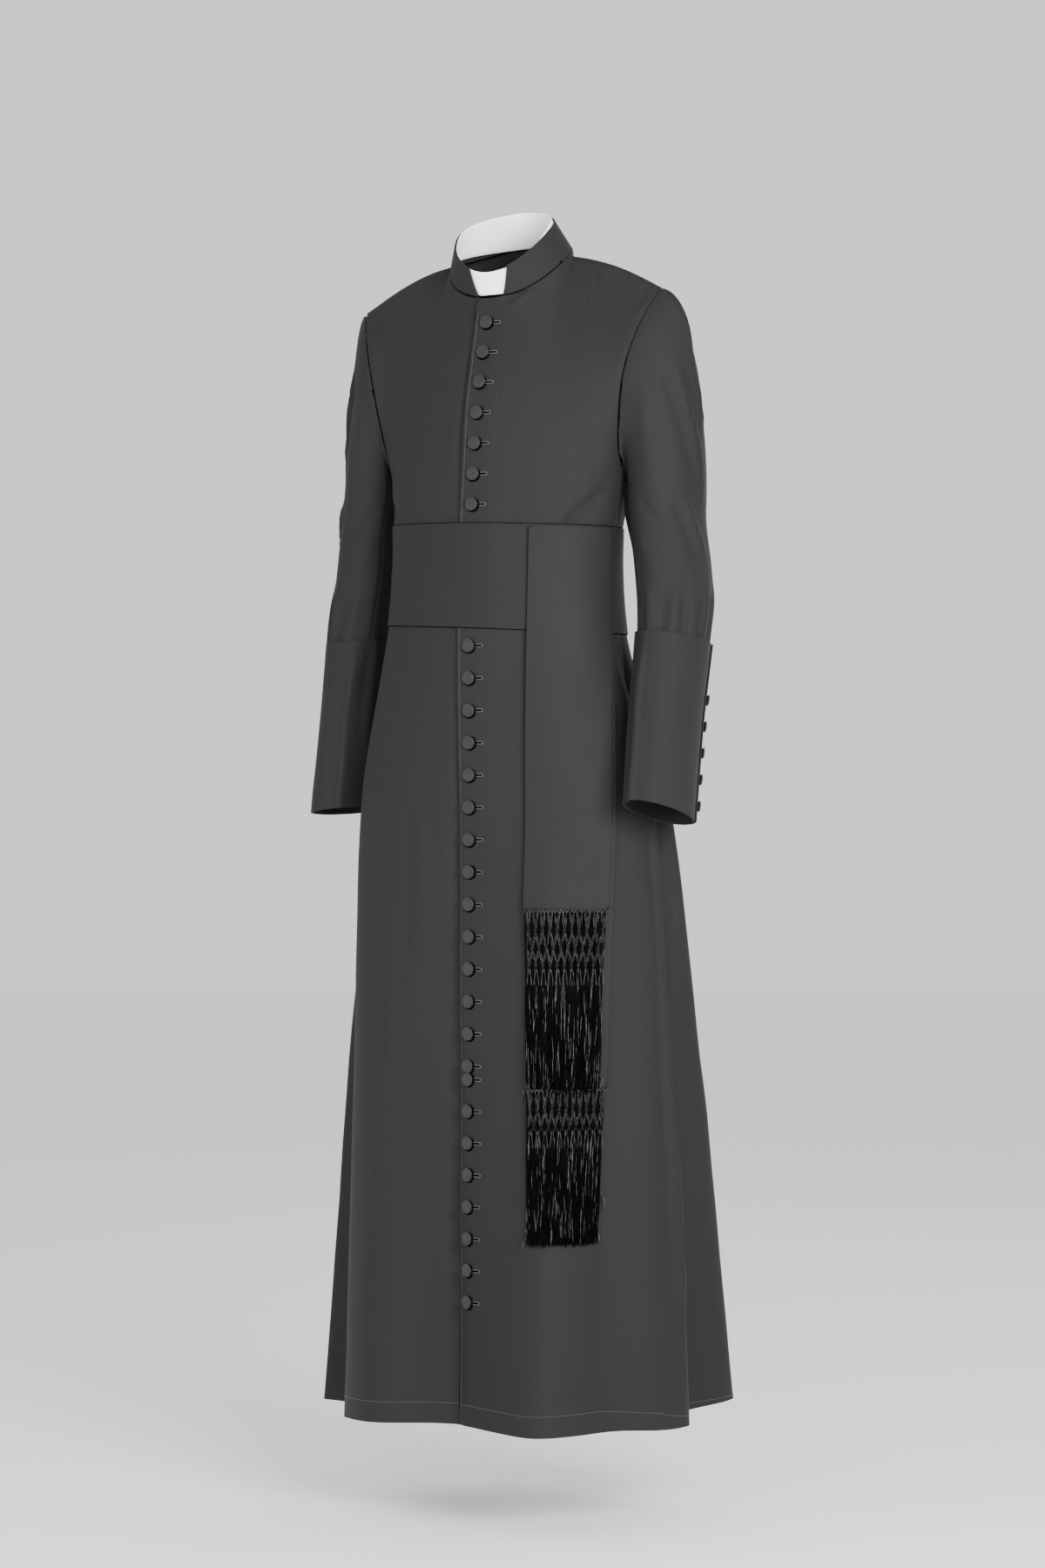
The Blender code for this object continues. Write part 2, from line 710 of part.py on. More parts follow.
def plumb_at(plumb, height):
    """How far a tail's edge hangs off the centre line. Below the band the skirt pushes it out a little."""
    return plumb + TAIL_DRIFT * max(0, BAND_BOTTOM - height) ** 2


# The turns of each tail's two edges, found once for each height.
EDGE_TURNS = {}


def hung_point(plumb, width, height):
    """A point of the surface that a tail lies on, and the way it faces."""
    key = (plumb, round(height, 6))
    if key not in EDGE_TURNS:
        near = plumb_at(plumb, height)
        EDGE_TURNS[key] = (turn_at(near, level_at(30, height)), hung_turn(near, TAIL_WIDTH, height))
    first, last = EDGE_TURNS[key]
    turn = first + (last - first) * width / TAIL_WIDTH
    small = 0.5
    point = body_point(turn, level_at(turn, height))
    beside = body_point(turn + small, level_at(turn + small, height)) - point
    above = body_point(turn, level_at(turn, height + 0.01)) - point
    return point, beside.cross(above).normalized()


def tail_offset(name):
    """How far the under side of a tail stands off the body: over the band, and the front one over the back one."""
    over_band = GAP + BAND_WALL + TAIL_GAP
    return over_band if name == "back" else over_band + TAIL_WALL + TAIL_GAP


def make_tail(name, plumb, end, silk, collection):
    heights = [TAIL_TOP] + [height for height in TAIL_BENDS if height > end + TAIL_STEP / 4]
    while heights[-1] - end > 1.2 * TAIL_STEP:
        heights.append(heights[-1] - TAIL_STEP)
    heights.append(end)
    placed = [
        hung_point(plumb, TAIL_WIDTH * column / TAIL_COLUMNS, height)
        for height in reversed(heights)
        for column in range(TAIL_COLUMNS + 1)
    ]
    points = [point for point, _ in placed]
    faces = grid_faces(len(heights), TAIL_COLUMNS + 1)
    under = [tail_offset(name)] * len(points)
    over = [out + TAIL_WALL for out in under]
    normals = [normal for _, normal in placed]
    make_wall(f"tail_{name}", trimmed(points, faces), normals, faces, under, over, silk, collection)


def net_outline(knot_rows, top):
    """The net laid flat, as points of width and height and the faces between them.

    A strip carries diamonds of cord between knots. It also gives the last knots and their height.
    """
    flat, faces = [], []

    def add(width, height):
        flat.append((width, height))
        return len(flat) - 1

    half = KNOT_HALF
    strip_low = top - STRIP_HEIGHT
    roots = []
    upper, lower = [], []
    for knot in range(KNOTS_ACROSS):
        middle = KNOT_PITCH * (knot + 0.5)
        for place in ROOT_PLACES:
            upper.append(add(middle + place * KNOT_PITCH, top))
            lower.append(add(middle + place * KNOT_PITCH, strip_low))
    for index in range(len(upper) - 1):
        faces.append((lower[index], lower[index + 1], upper[index + 1], upper[index]))
    for knot in range(KNOTS_ACROSS):
        roots.append((lower[4 * knot : 4 * knot + 2], lower[4 * knot + 2 : 4 * knot + 4]))

    height = strip_low - KNOT_ROW
    above = None
    for row in range(knot_rows):
        shifted = row % 2
        count = KNOTS_ACROSS - shifted
        knots = []
        for knot in range(count):
            middle = KNOT_PITCH * (knot + 0.5 + 0.5 * shifted)
            corners = (
                add(middle - half, height),
                add(middle, height - half),
                add(middle + half, height),
                add(middle, height + half),
            )
            left, low, right, high = corners
            faces.append((left, low, right, high))
            knots.append(corners)
        for knot, (left, low, right, high) in enumerate(knots):
            if above is None:
                (a, b), (c, d) = roots[knot]
                faces.append((left, high, b, a))
                faces.append((high, right, d, c))
                continue
            if shifted:
                before, after = above[knot], above[knot + 1]
            else:
                before = above[knot - 1] if knot else None
                after = above[knot] if knot < len(above) else None
            if before:
                faces.append((left, high, before[2], before[1]))
            if after:
                faces.append((high, right, after[1], after[0]))
        above = knots
        height -= KNOT_ROW
    return flat, faces, above, height + KNOT_ROW


def make_fringe(name, plumb, cloth_end, knot_rows, end, thread, collection):
    flat, faces, last_knots, knot_height = net_outline(knot_rows, cloth_end - GAP)
    head = knot_height - STRANDS_DROP
    spread = KNOT_PITCH * STRANDS_SPREAD / 2
    slots = 2 * STRANDS_A_KNOT

    def add(width, height):
        flat.append((width, height))
        return len(flat) - 1

    for index, (left, low, right, high) in enumerate(last_knots):
        middle = flat[low][0]
        heads = [add(middle - spread + 2 * spread * step / (slots - 1), head) for step in range(slots)]
        centre = STRANDS_A_KNOT
        faces.append((left, heads[0], *heads[1:centre], low))
        faces.append((low, *heads[centre - 1 : centre + 1]))
        faces.append((low, *heads[centre:], right))
        for strand in range(STRANDS_A_KNOT):
            a, b = heads[2 * strand], heads[2 * strand + 1]
            number = index * STRANDS_A_KNOT + strand
            sway = STRAND_SWAY * math.sin(2.4 * number)
            short = STRAND_SHORT * math.sin(1.7 * number) ** 2
            for share in (0.5, 1.0):
                height = head + (end + short - head) * share
                c = add(flat[heads[2 * strand]][0] + sway * share, height)
                d = add(flat[heads[2 * strand + 1]][0] + sway * share, height)
                faces.append((a, c, d, b))
                a, b = c, d
    placed = [hung_point(plumb, width, height) for width, height in flat]
    points = [point for point, _ in placed]
    normals = [normal for _, normal in placed]
    under = [tail_offset(name)] * len(points)
    over = [out + CORD_WALL for out in under]
    make_wall(f"fringe_{name}", points, normals, faces, under, over, thread, collection)


# ---- Buttons


def button_mesh(material):
    """Half of a covered button's section, which a Screw modifier turns into the whole."""
    profile = (
        (0, BUTTON_DOME[0]),
        (0.62 * BUTTON_RADIUS, BUTTON_DOME[1]),
        (BUTTON_RADIUS, BUTTON_DOME[2]),
        (0.72 * BUTTON_RADIUS, 0),
        (0, 0),
    )
    mesh = bpy.data.meshes.new("button")
    mesh.from_pydata([(x, 0, z) for x, z in profile], [(i, i + 1) for i in range(len(profile) - 1)], [])
    mesh.materials.append(material)
    return mesh


def make_button(name, mesh, seat, facing, collection):
    obj = bpy.data.objects.new(name, mesh)
    turned = obj.modifiers.new("Turned", "SCREW")
    turned.steps = BUTTON_SIDES
    turned.render_steps = BUTTON_SIDES
    turned.use_merge_vertices = True
    turned.merge_threshold = 0.0001
    obj.rotation_mode = "QUATERNION"
    obj.rotation_quaternion = facing.to_track_quat("Z", "Y")
    obj.location = seat - Vector((0, 0, NECK_HEIGHT))
    collection.objects.link(obj)


def make_front_buttons(mesh, collection):
    number = 0
    small = 0.002
    for first, step, count in FRONT_BUTTONS:
        for place in range(count):
            number += 1
            level = level_at(0, first - step * place)
            point = body_point(0, level)
            beside = body_point(turn_at(OVERLAP, level), level) - body_point(turn_at(-OVERLAP, level), level)
            above = body_point(0, level + small) - body_point(0, level - small)
            facing = beside.cross(above).normalized()
            seat = point + facing * (WALL + GAP + BUTTON_SEAT)
            make_button(f"button_front_{number:02d}", mesh, seat, facing, collection)


def make_cuff_buttons(side, mesh, collection):
    """Each button sits in the middle of the lap, whose flat lies between two of the cuff's columns."""
    first, step, count = CUFF_BUTTONS
    half = 180 / CUFF_SIDES
    small = 0.01
    for place in range(count):
        height = first - step * place
        start, end = (arm_point(side, CUFF_BUTTON_TURN + turn, height) for turn in (-half, half))
        above = arm_point(side, CUFF_BUTTON_TURN, height + small)
        below = arm_point(side, CUFF_BUTTON_TURN, height - small)
        facing = (end - start).cross(above - below).normalized()
        if side == "left":
            facing = -facing
        seat = (start + end) / 2 + facing * (CUFF_EASE + 2 * WALL + GAP + CUFF_BUTTON_SEAT)
        make_button(f"button_cuff_{side}_{place + 1}", mesh, seat, facing, collection)


def main():
    clear_scene()
    collection = bpy.data.collections.new("cassock")
    bpy.context.scene.collection.children.link(collection)
    cloth = make_material("wool_cloth", (0.045, 0.045, 0.047), 0.75)
    silk = make_material("silk_faille", (0.040, 0.040, 0.042), 0.6)
    thread = make_material("silk_thread", (0.012, 0.012, 0.013), 0.4)
    white = make_material("white_insert", (0.85, 0.85, 0.84), 0.4)
    front, back = body_grids()
    make_body(front, back, cloth, collection)
    for side in ARMS:
        make_sleeve(side, front, back, cloth, collection)
        make_cuff(side, cloth, collection)
    make_collar(cloth, collection)
    make_insert(white, collection)
    make_band(front, back, silk, collection)
    for name, plumb, cloth_end, knot_rows, end in TAILS:
        make_tail(name, plumb, cloth_end, silk, collection)
        make_fringe(name, plumb, cloth_end, knot_rows, end, thread, collection)
    mesh = button_mesh(cloth)
    make_front_buttons(mesh, collection)
    for side in ARMS:
        make_cuff_buttons(side, mesh, collection)


main()
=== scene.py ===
"""A cassock in charcoal wool gabardine with a silk cincture, in the hollow form that it takes when worn.

X is the wearer's left, -Y is the wearer's front, Z is up, and the origin is in the middle of the neck
opening. Turns are in degrees round the body: 0 at the centre front and 90 at the wearer's left side. All
sizes are in metres. The sections follow the garment as it is put together.
"""

import math
import random

import bmesh
import bpy
import numpy as np
from mathutils import Matrix, Vector, bvhtree, kdtree, noise


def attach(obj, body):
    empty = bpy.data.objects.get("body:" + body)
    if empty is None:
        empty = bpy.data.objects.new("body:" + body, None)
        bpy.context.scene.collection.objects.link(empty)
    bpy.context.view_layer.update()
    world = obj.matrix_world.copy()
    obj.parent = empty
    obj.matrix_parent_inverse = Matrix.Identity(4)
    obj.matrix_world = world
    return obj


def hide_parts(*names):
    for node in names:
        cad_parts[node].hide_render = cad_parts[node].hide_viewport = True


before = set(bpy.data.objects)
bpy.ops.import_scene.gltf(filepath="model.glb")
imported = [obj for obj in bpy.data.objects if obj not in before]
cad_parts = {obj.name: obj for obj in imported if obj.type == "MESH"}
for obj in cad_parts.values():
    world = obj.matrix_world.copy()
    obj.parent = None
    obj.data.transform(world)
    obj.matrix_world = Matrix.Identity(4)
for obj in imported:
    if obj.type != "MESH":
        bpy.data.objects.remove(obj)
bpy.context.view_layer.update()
random.seed(7)


# ---- Camera
# It stands at the height of the wearer's waist, 25 degrees round to the wearer's left.


def new_object(name, data):
    """A new object in the scene."""
    thing = bpy.data.objects.new(name, data)
    bpy.context.scene.collection.objects.link(thing)
    return thing


camera_data = bpy.data.cameras.new("camera")
camera_data.lens = 99.54
camera_data.sensor_width = 36
camera = new_object("camera", camera_data)
camera.location = (2.3424, -4.9763, -0.65)
camera.rotation_euler = (math.radians(90), 0, math.radians(25))
bpy.context.scene.camera = camera


# ---- Body
# Two fronts and two backs of wool gabardine, each one length of cloth from the shoulder to the hem, sewn
# at the shoulders, sides and centre back. The left front laps over the right one.

MERGE_DISTANCE = 0.00001
SEAM_GAP = 0.0004
SHARP_ANGLE = math.radians(50)
FLAT_ANGLE = math.radians(40)
EDGE_SET_IN = 0.0022
EDGE_CREASE = 0.75
CLOTH_STEPS = 2

# Folds of the body's cloth, as soft ridges and troughs from one place to another. The columns of every
# table of folds are turn and height at its start, the same at its end, half width, and how far out.
BODY_FOLDS = (
    (56, -0.232, 80, -0.25, 0.013, -0.0014),
    (56, -0.334, 84, -0.278, 0.0095, -0.008),
    (66, -0.334, 94, -0.302, 0.01, 0.0026),
    (70, -0.262, 88, -0.272, 0.01, -0.0016),
    (108, -0.205, 112, -0.345, 0.026, 0.004),
    (64, -0.168, 80, -0.158, 0.014, -0.0016),
    (-50, -0.03, -13, -0.066, 0.007, -0.0024),
    (-58, -0.045, -20, -0.085, 0.009, 0.0018),
    (58, -0.026, 20, -0.056, 0.006, 0.0022),
    (52, -0.02, 16, -0.046, 0.006, -0.0016),
    (-62, -0.24, -84, -0.268, 0.012, -0.0025),
    (-64, -0.312, -84, -0.292, 0.01, -0.0035),
    (-12.5, -0.52, -13, -1.6, 0.02, -0.007),
    (-25, -0.75, -26, -1.6, 0.024, 0.0028),
    (-37, -0.62, -33, -1.15, 0.02, 0.0022),
    (-44, -0.6, -44, -1.6, 0.02, -0.0034),
    (-22, -0.699, -11, -0.7, 0.005, -0.0014),
    (66, -1.1, 61, -1.6, 0.045, -0.004),
    (28, -0.9, 26, -1.24, 0.014, -0.0018),
    (89, -0.5, 90, -1.54, 0.016, 0.012),
    (96, -0.5, 97, -1.7, 0.017, -0.013),
    (86, -0.47, 98, -0.66, 0.018, -0.004),
    (75, -0.47, 80, -0.64, 0.012, -0.002),
    (151, -0.48, 156, -1.6, 0.022, 0.004),
    (-150, -0.48, -157, -1.6, 0.022, 0.004),
    (172, -0.48, 170, -1.6, 0.018, -0.0035),
    (-172, -0.5, -171, -1.6, 0.018, -0.003),
    (126, -0.5, 131, -1.6, 0.022, -0.0035),
    (-128, -0.5, -133, -1.6, 0.022, -0.004),
    (118, -0.314, 142, -0.29, 0.01, -0.003),
    (-116, -0.314, -140, -0.294, 0.01, -0.003),
    (128, -0.21, 150, -0.17, 0.016, -0.0024),
    (-130, -0.214, -152, -0.176, 0.016, -0.0024),
    (135, -0.06, 158, -0.13, 0.013, 0.0018),
    (-138, -0.058, -160, -0.126, 0.014, 0.0018),
)
# On the right front alone, a hollow beside the edge that laps over it.
UNDER_EDGE_FOLDS = (
    (-17, -0.06, -11.5, -0.33, 0.008, -0.0038),
    (-16, -0.075, -12, -0.2, 0.008, -0.0012),
    (-10.5, -0.455, -10.5, -0.9, 0.009, -0.0022),
    (-10.5, -0.62, -10.5, -1.44, 0.009, -0.0026),
)
# A fold widens along its way, wanders a little, and fades in and out over these shares of its length.
FOLD_NARROW, FOLD_WIDENS = 0.7, 0.6
FOLD_WANDER = 0.006
FADE_IN, FADE_OUT = 0.25, 0.35
SWELL = 0.001
SWELL_LENGTH = 0.085
SEAM_REACH = 0.0045
SEAM_DEPTH = 0.0009
CHEST_LOW = -0.26
CHEST_TURN = 16
CHEST_ROUNDS = 9
CHEST_RIM = 0.012
BODY_CROWN = -0.14


def hex_colour(code):
    """The linear colour of an sRGB hex value."""
    channels = [int(code[start : start + 2], 16) / 255 for start in (1, 3, 5)]
    return (*[c / 12.92 if c <= 0.04045 else ((c + 0.055) / 1.055) ** 2.4 for c in channels], 1)


def add_node(material, kind, inputs=(), **settings):
    """Adds a node with its settings, and links or sets its inputs."""
    tree = material.node_tree
    node = tree.nodes.new("ShaderNode" + kind)
    for name, value in settings.items():
        setattr(node, name, value)
    for name, value in inputs:
        if isinstance(value, bpy.types.NodeSocket):
            tree.links.new(value, node.inputs[name])
        else:
            node.inputs[name].default_value = value
    return node


def shader_of(material):
    """The node that says how a material takes light."""
    return material.node_tree.nodes["Principled BSDF"]


def new_material(name, colour, roughness, specular=0.5, **values):
    """A material whose shader holds the values that are the same all over."""
    material = bpy.data.materials.new(name)
    material.use_nodes = True
    material.diffuse_color = hex_colour(colour)
    values |= {"Base Color": hex_colour(colour), "Roughness": roughness, "Specular IOR Level": specular}
    for key, value in values.items():
        shader_of(material).inputs[key.replace("_", " ")].default_value = value
    return material


def weave(material, dark, light, rib, rib_turn, rib_height, rib_colour):
    """Ribs that follow the piece's own UV map, fine fibres, and slow shifts of colour and of gloss."""
    uv = add_node(material, "UVMap", uv_map="cloth").outputs[0]
    place = add_node(material, "TexCoord").outputs["Object"]
    turned = add_node(material, "Mapping", [("Vector", uv), ("Rotation", (0, 0, math.radians(rib_turn)))])
    # A Wave texture in bands along X repeats every 0.314 units at scale 1.
    waves = [("Vector", turned.outputs[0]), ("Scale", 0.314 / rib), ("Distortion", 1.6), ("Detail", 2)]
    ribs = add_node(material, "TexWave", waves, bands_direction="X")
    clouds = [("Vector", place), ("Scale", 9), ("Detail", 4), ("Roughness", 0.6)]
    patches = add_node(material, "TexNoise", clouds).outputs[0]
    hairs = [("Vector", uv), ("Scale", 700), ("Detail", 2), ("Roughness", 0.6)]
    fibres = add_node(material, "TexNoise", hairs).outputs[0]
    shades = [(0, patches), (6, hex_colour(dark)), (7, hex_colour(light))]
    colour = add_node(material, "Mix", shades, data_type="RGBA").outputs[2]
    lines = [(0, rib_colour), (6, colour), (7, ribs.outputs["Color"])]
    threads = add_node(material, "Mix", lines, data_type="RGBA", blend_type="OVERLAY").outputs[2]
    rough = shader_of(material).inputs["Roughness"].default_value
    shift = [("From Min", 0.3), ("From Max", 0.7), ("To Min", rough - 0.04), ("To Max", rough + 0.04)]
    gloss = add_node(material, "MapRange", [("Value", patches), *shift]).outputs[0]
    height = add_node(material, "Math", [(0, ribs.outputs["Fac"]), (1, fibres)], operation="ADD").outputs[0]
    bump = add_node(material, "Bump", [("Strength", 0.4), ("Distance", rib_height), ("Height", height)])
    for socket, value in (("Base Color", threads), ("Roughness", gloss), ("Normal", bump.outputs[0])):
        material.node_tree.links.new(value, shader_of(material).inputs[socket])


# Wool gabardine, woven in a steep twill and pressed: matt, dense and smooth, with a faint bloom where it
# turns away from the eye. Its twill lines are 0.5 mm apart, and are drawn at 2.8 mm so that they show.
BLOOM = hex_colour("#B8B8BC")
WOOL = new_material(
    "wool_gabardine", "#1C1C1C", 0.75, 0.12, Sheen_Weight=0.04, Sheen_Roughness=0.4, Sheen_Tint=BLOOM
)
weave(WOOL, "#1A1A1A", "#202020", 0.0028, 27, 0.00006, 0.06)


def tree_of_points(points):
    """A search tree over points."""
    tree = kdtree.KDTree(len(points))
    for index, point in enumerate(points):
        tree.insert(point, index)
    tree.balance()
    return tree


def merged_copy(*nodes):
    """A copy of one or more solids as one mesh. Where two of them meet at the waist, they become one."""
    shell = bmesh.new()
    for node in nodes:
        shell.from_mesh(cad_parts[node].data)
    bmesh.ops.remove_doubles(shell, verts=shell.verts, dist=MERGE_DISTANCE)
    if len(nodes) > 1:
        tree = tree_of_points([vert.co for vert in shell.verts])
        met = {vert for vert in shell.verts if len(tree.find_range(vert.co, SEAM_GAP)) > 1}
        walls = [face for face in shell.faces if all(vert in met for vert in face.verts)]
        bmesh.ops.delete(shell, geom=walls, context="FACES_ONLY")
        bmesh.ops.remove_doubles(shell, verts=list(met), dist=SEAM_GAP)
    bmesh.ops.join_triangles(
        shell, faces=shell.faces, angle_face_threshold=FLAT_ANGLE, angle_shape_threshold=math.pi
    )
    return shell


def sharp_edges(shell):
    """The edges at which the cloth turns round its own thickness."""
    return {edge for edge in shell.edges if edge.is_manifold and edge.calc_face_angle() > SHARP_ANGLE}


def cloth_sides(shell, sharp):
    """The faces of the cloth's two sides, without the narrow walls round its edges."""
    sides, left = [], set(shell.faces)
    while left:
        side, reached = [], [left.pop()]
        while reached:
            face = reached.pop()
            side.append(face)
            for edge in face.edges:
                if edge not in sharp:
                    for other in edge.link_faces:
                        if other in left:
                            left.remove(other)
                            reached.append(other)
        sides.append(side)
    sides.sort(key=lambda side: sum(face.calc_area() for face in side))
    return sides[-1] + sides[-2]


def place_on_body(points):
    """For each point, its turn round the body, the length of one degree there, and the way out."""
    turns = np.degrees(np.arctan2(points[:, 0], -points[:, 1]))
    out = np.column_stack([points[:, 0], points[:, 1], np.maximum(points[:, 2] - BODY_CROWN, 0)])
    degree = np.radians(1) * np.hypot(points[:, 0], points[:, 1])
    return turns, degree, out / np.linalg.norm(out, axis=1)[:, None]


def fold_height(turns, degree, heights, folds, wander):
    """How far all the folds together push the cloth out at each point."""
    total = np.zeros(len(turns))
    for turn, z, end_turn, end_z, half, out in folds:
        for round_way in (-360, 0, 360):
            across, up = (turns - turn - round_way) * degree, heights - z
            run, rise = (end_turn - turn) * degree, end_z - z
            along = np.clip((across * run + up * rise) / (run**2 + rise**2), 0, 1)
            sideways = np.hypot(across - along * run, up - along * rise)
            side = np.sign(across * rise - up * run)
            away = np.abs(sideways * side + wander) / (half * (FOLD_NARROW + FOLD_WIDENS * along))
            fade = np.clip(np.minimum(along / FADE_IN, (1 - along) / FADE_OUT), 0, 1)
            total += out * fade * fade * (3 - 2 * fade) * np.clip(1 - away**2, 0, None) ** 2
    return total


def points_of(mesh):
    """A mesh's points as rows of an array."""
    points = np.empty(len(mesh.vertices) * 3)
    mesh.vertices.foreach_get("co", points)
    return points.reshape(-1, 3)


def tree_of(*meshes):
    """A search tree over the faces of several meshes."""
    points, faces = [], []
    for mesh in meshes:
        start = len(points)
        points += [vert.co.copy() for vert in mesh.vertices]
        faces += [[start + index for index in face.vertices] for face in mesh.polygons]
    return bvhtree.BVHTree.FromPolygons(points, faces)


def press_cloth(mesh, place, folds, swell, sewn_to):
    """Moves the cloth in and out at its folds, with a soft swell all over, and sinks it at its seams."""
    points = points_of(mesh)
    turns, degree, out = place(points)
    slow = np.array([noise.noise(Vector(point) / SWELL_LENGTH) for point in points])
    moved = fold_height(turns, degree, points[:, 2], folds, FOLD_WANDER * slow) + swell * slow
    if sewn_to:
        tree = tree_of(*[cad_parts[node].data for node in sewn_to])
        for index, point in enumerate(points):
            found = tree.find_nearest(point, SEAM_REACH)
            if found[0]:
                moved[index] -= SEAM_DEPTH * (1 - found[3] / SEAM_REACH) ** 2
    points += out * moved[:, None]
    mesh.vertices.foreach_set("co", points.ravel())
    mesh.update()


def lay_uv(mesh, place):
    """A UV map in metres: round the piece and up it."""
    points = points_of(mesh)
    turns, degree, _ = place(points)
    corners = np.empty(len(mesh.loops), np.int32)
    mesh.loops.foreach_get("vertex_index", corners)
    flat = np.column_stack([turns * float(np.mean(degree)), points[:, 2]])[corners]
    layer = mesh.uv_layers.new(name="cloth")
    layer.data.foreach_set("uv", flat.ravel().astype(np.float32))


def put_in_scene(mesh, material, nodes=()):
    """Puts a mesh in the scene as a piece of the garment, under the mesh's own name."""
    mesh.materials.append(material)
    piece = new_object(mesh.name, mesh)
    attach(piece, "root")
    if nodes:
        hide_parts(*nodes)
    return piece


def ease_chest(shell):
    """Rounds off the line that runs down from each end of the neck's seam."""
    rim_tree = tree_of_points([vert.co for edge in sharp_edges(shell) for vert in edge.verts])
    chosen = []
    for vert in shell.verts:
        turn = abs(math.degrees(math.atan2(vert.co.x, -vert.co.y)))
        inside = rim_tree.find(vert.co)[2] > CHEST_RIM
        if vert.co.z > CHEST_LOW and CHEST_TURN < min(turn, 180 - turn) and inside:
            chosen.append(vert)
    for _ in range(CHEST_ROUNDS):
        bmesh.ops.smooth_vert(
            shell, verts=chosen, factor=0.5, use_axis_x=True, use_axis_y=True, use_axis_z=True
        )


def mesh_from(shape, name):
    """A mesh of what was built in bmesh, which is freed."""
    mesh = bpy.data.meshes.new(name)
    shape.to_mesh(mesh)
    shape.free()
    return mesh


def add_cloth(name, nodes, material, slot, place, folds=(), swell=SWELL, sewn_to=(), set_in=EDGE_SET_IN):
    """A piece from a solid's wall made smooth, with folds pressed in and seams where the solid's are."""
    shell = merged_copy(*nodes)
    if len(nodes) > 1:
        ease_chest(shell)
    if set_in:
        bmesh.ops.inset_region(
            shell, faces=cloth_sides(shell, sharp_edges(shell)), thickness=set_in, use_even_offset=True
        )
    crease = shell.edges.layers.float.new("crease_edge")
    corner_crease = shell.verts.layers.float.new("crease_vert")
    sharp = sharp_edges(shell)
    for edge in sharp:
        edge[crease] = EDGE_CREASE
    for vert in shell.verts:
        if sum(edge in sharp for edge in vert.link_edges) > 2:
            vert[corner_crease] = 1
    mesh = mesh_from(shell, name)
    while mesh.uv_layers:
        mesh.uv_layers.remove(mesh.uv_layers[0])
    rough = new_object(name + "_rough", mesh)
    smooth = rough.modifiers.new("smooth", "SUBSURF")
    smooth.levels = smooth.render_levels = CLOTH_STEPS
    graph = bpy.context.evaluated_depsgraph_get()
    fine = bpy.data.meshes.new_from_object(rough.evaluated_get(graph))
    bpy.data.objects.remove(rough)
    bpy.data.meshes.remove(mesh)
    fine.name = name
    press_cloth(fine, place, folds, swell, sewn_to)
    lay_uv(fine, place)
    fine.shade_smooth()
    return put_in_scene(fine, material, nodes)


SLEEVE_NODES = {side: (f"sleeve_top_{side}", f"sleeve_under_{side}") for side in ("left", "right")}
body_meshes = {}
for panel, twins, flat, area in (
    # what it is sewn to, flat width and length, flat area
    ("front_left", ("back_left",), (0.46, 1.5), 0.43),
    ("front_right", ("back_right",), (0.46, 1.5), 0.43),
    ("back_left", ("front_left", "back_right"), (0.5, 1.52), 0.44),
    ("back_right", ("front_right", "back_left"), (0.5, 1.52), 0.44),
):
    nodes = (f"skirt_{panel}", f"bodice_{panel}")
    sewn_to = [f"{part}_{twin}" for twin in twins for part in ("skirt", "bodice")]
    sewn_to += SLEEVE_NODES[panel.split("_")[1]]
    folds = BODY_FOLDS + (UNDER_EDGE_FOLDS if panel == "front_right" else ())
    piece = add_cloth("cloth_" + panel, nodes, WOOL, "wool_cloth", place_on_body, folds, sewn_to=sewn_to)
    body_meshes[panel] = piece.data


# ---- Sleeves
# A top and an under sleeve of the same gabardine, set into each armhole with a little fullness over the
# head, and gathered into the cuff.

# The middle of each arm: its x and y at these heights.
ARM_HEIGHTS = (-0.685, -0.48, -0.38, -0.28, -0.12)
ARM_LINES = {
    "left": ((0.237, 0.228, 0.218, 0.2055, 0.197), (-0.066, -0.001, 0.026, 0.038, 0.028)),
    "right": ((0.247, 0.227, 0.214, 0.2035, 0.192), (0.033, 0.041, 0.047, 0.052, 0.028)),
}
# Turns go round the arm here: 0 at its outer side and 90 at its front.
SLEEVE_FOLDS = (
    (96, -0.505, 100, -0.385, 0.0085, 0.004),
    (81, -0.505, 79, -0.4, 0.0075, -0.0032),
    (66, -0.505, 61, -0.375, 0.0085, 0.0036),
    (50, -0.505, 48, -0.4, 0.0075, -0.0034),
    (33, -0.505, 37, -0.385, 0.0085, 0.0038),
    (18, -0.505, 18, -0.405, 0.0075, -0.003),
    (3, -0.505, 0, -0.385, 0.0085, 0.0032),
    (-14, -0.505, -14, -0.4, 0.0075, -0.0028),
    (-34, -0.505, -32, -0.385, 0.0085, 0.003),
    (-54, -0.505, -54, -0.4, 0.008, -0.0028),
    (-80, -0.505, -78, -0.385, 0.0085, 0.0028),
    (50, -0.1, -8, -0.315, 0.0085, 0.0058),
    (64, -0.11, 10, -0.32, 0.011, -0.0044),
    (14, -0.115, -18, -0.215, 0.0075, 0.0032),
    (30, -0.12, -4, -0.225, 0.0085, -0.0024),
    (54, -0.28, -8, -0.38, 0.008, 0.005),
    (70, -0.29, 16, -0.385, 0.01, -0.0038),
    (170, -0.18, 170, -0.37, 0.024, 0.009),
    (84, -0.15, 88, -0.3, 0.014, 0.0024),
    (110, -0.29, 70, -0.35, 0.014, -0.0034),
    (118, -0.33, 84, -0.4, 0.012, 0.0024),
    (-60, -0.2, -90, -0.36, 0.016, 0.0028),
    (-40, -0.33, -110, -0.372, 0.012, -0.0034),
    (-44, -0.36, -104, -0.4, 0.012, 0.0022),
)
SLEEVE_CROWN = -0.12
ARM_CORE = 0.012
# Flat width and length, and flat area, of the top and the under sleeve.
SLEEVE_FLATS = (((0.27, 0.49), 0.095), ((0.12, 0.36), 0.033))


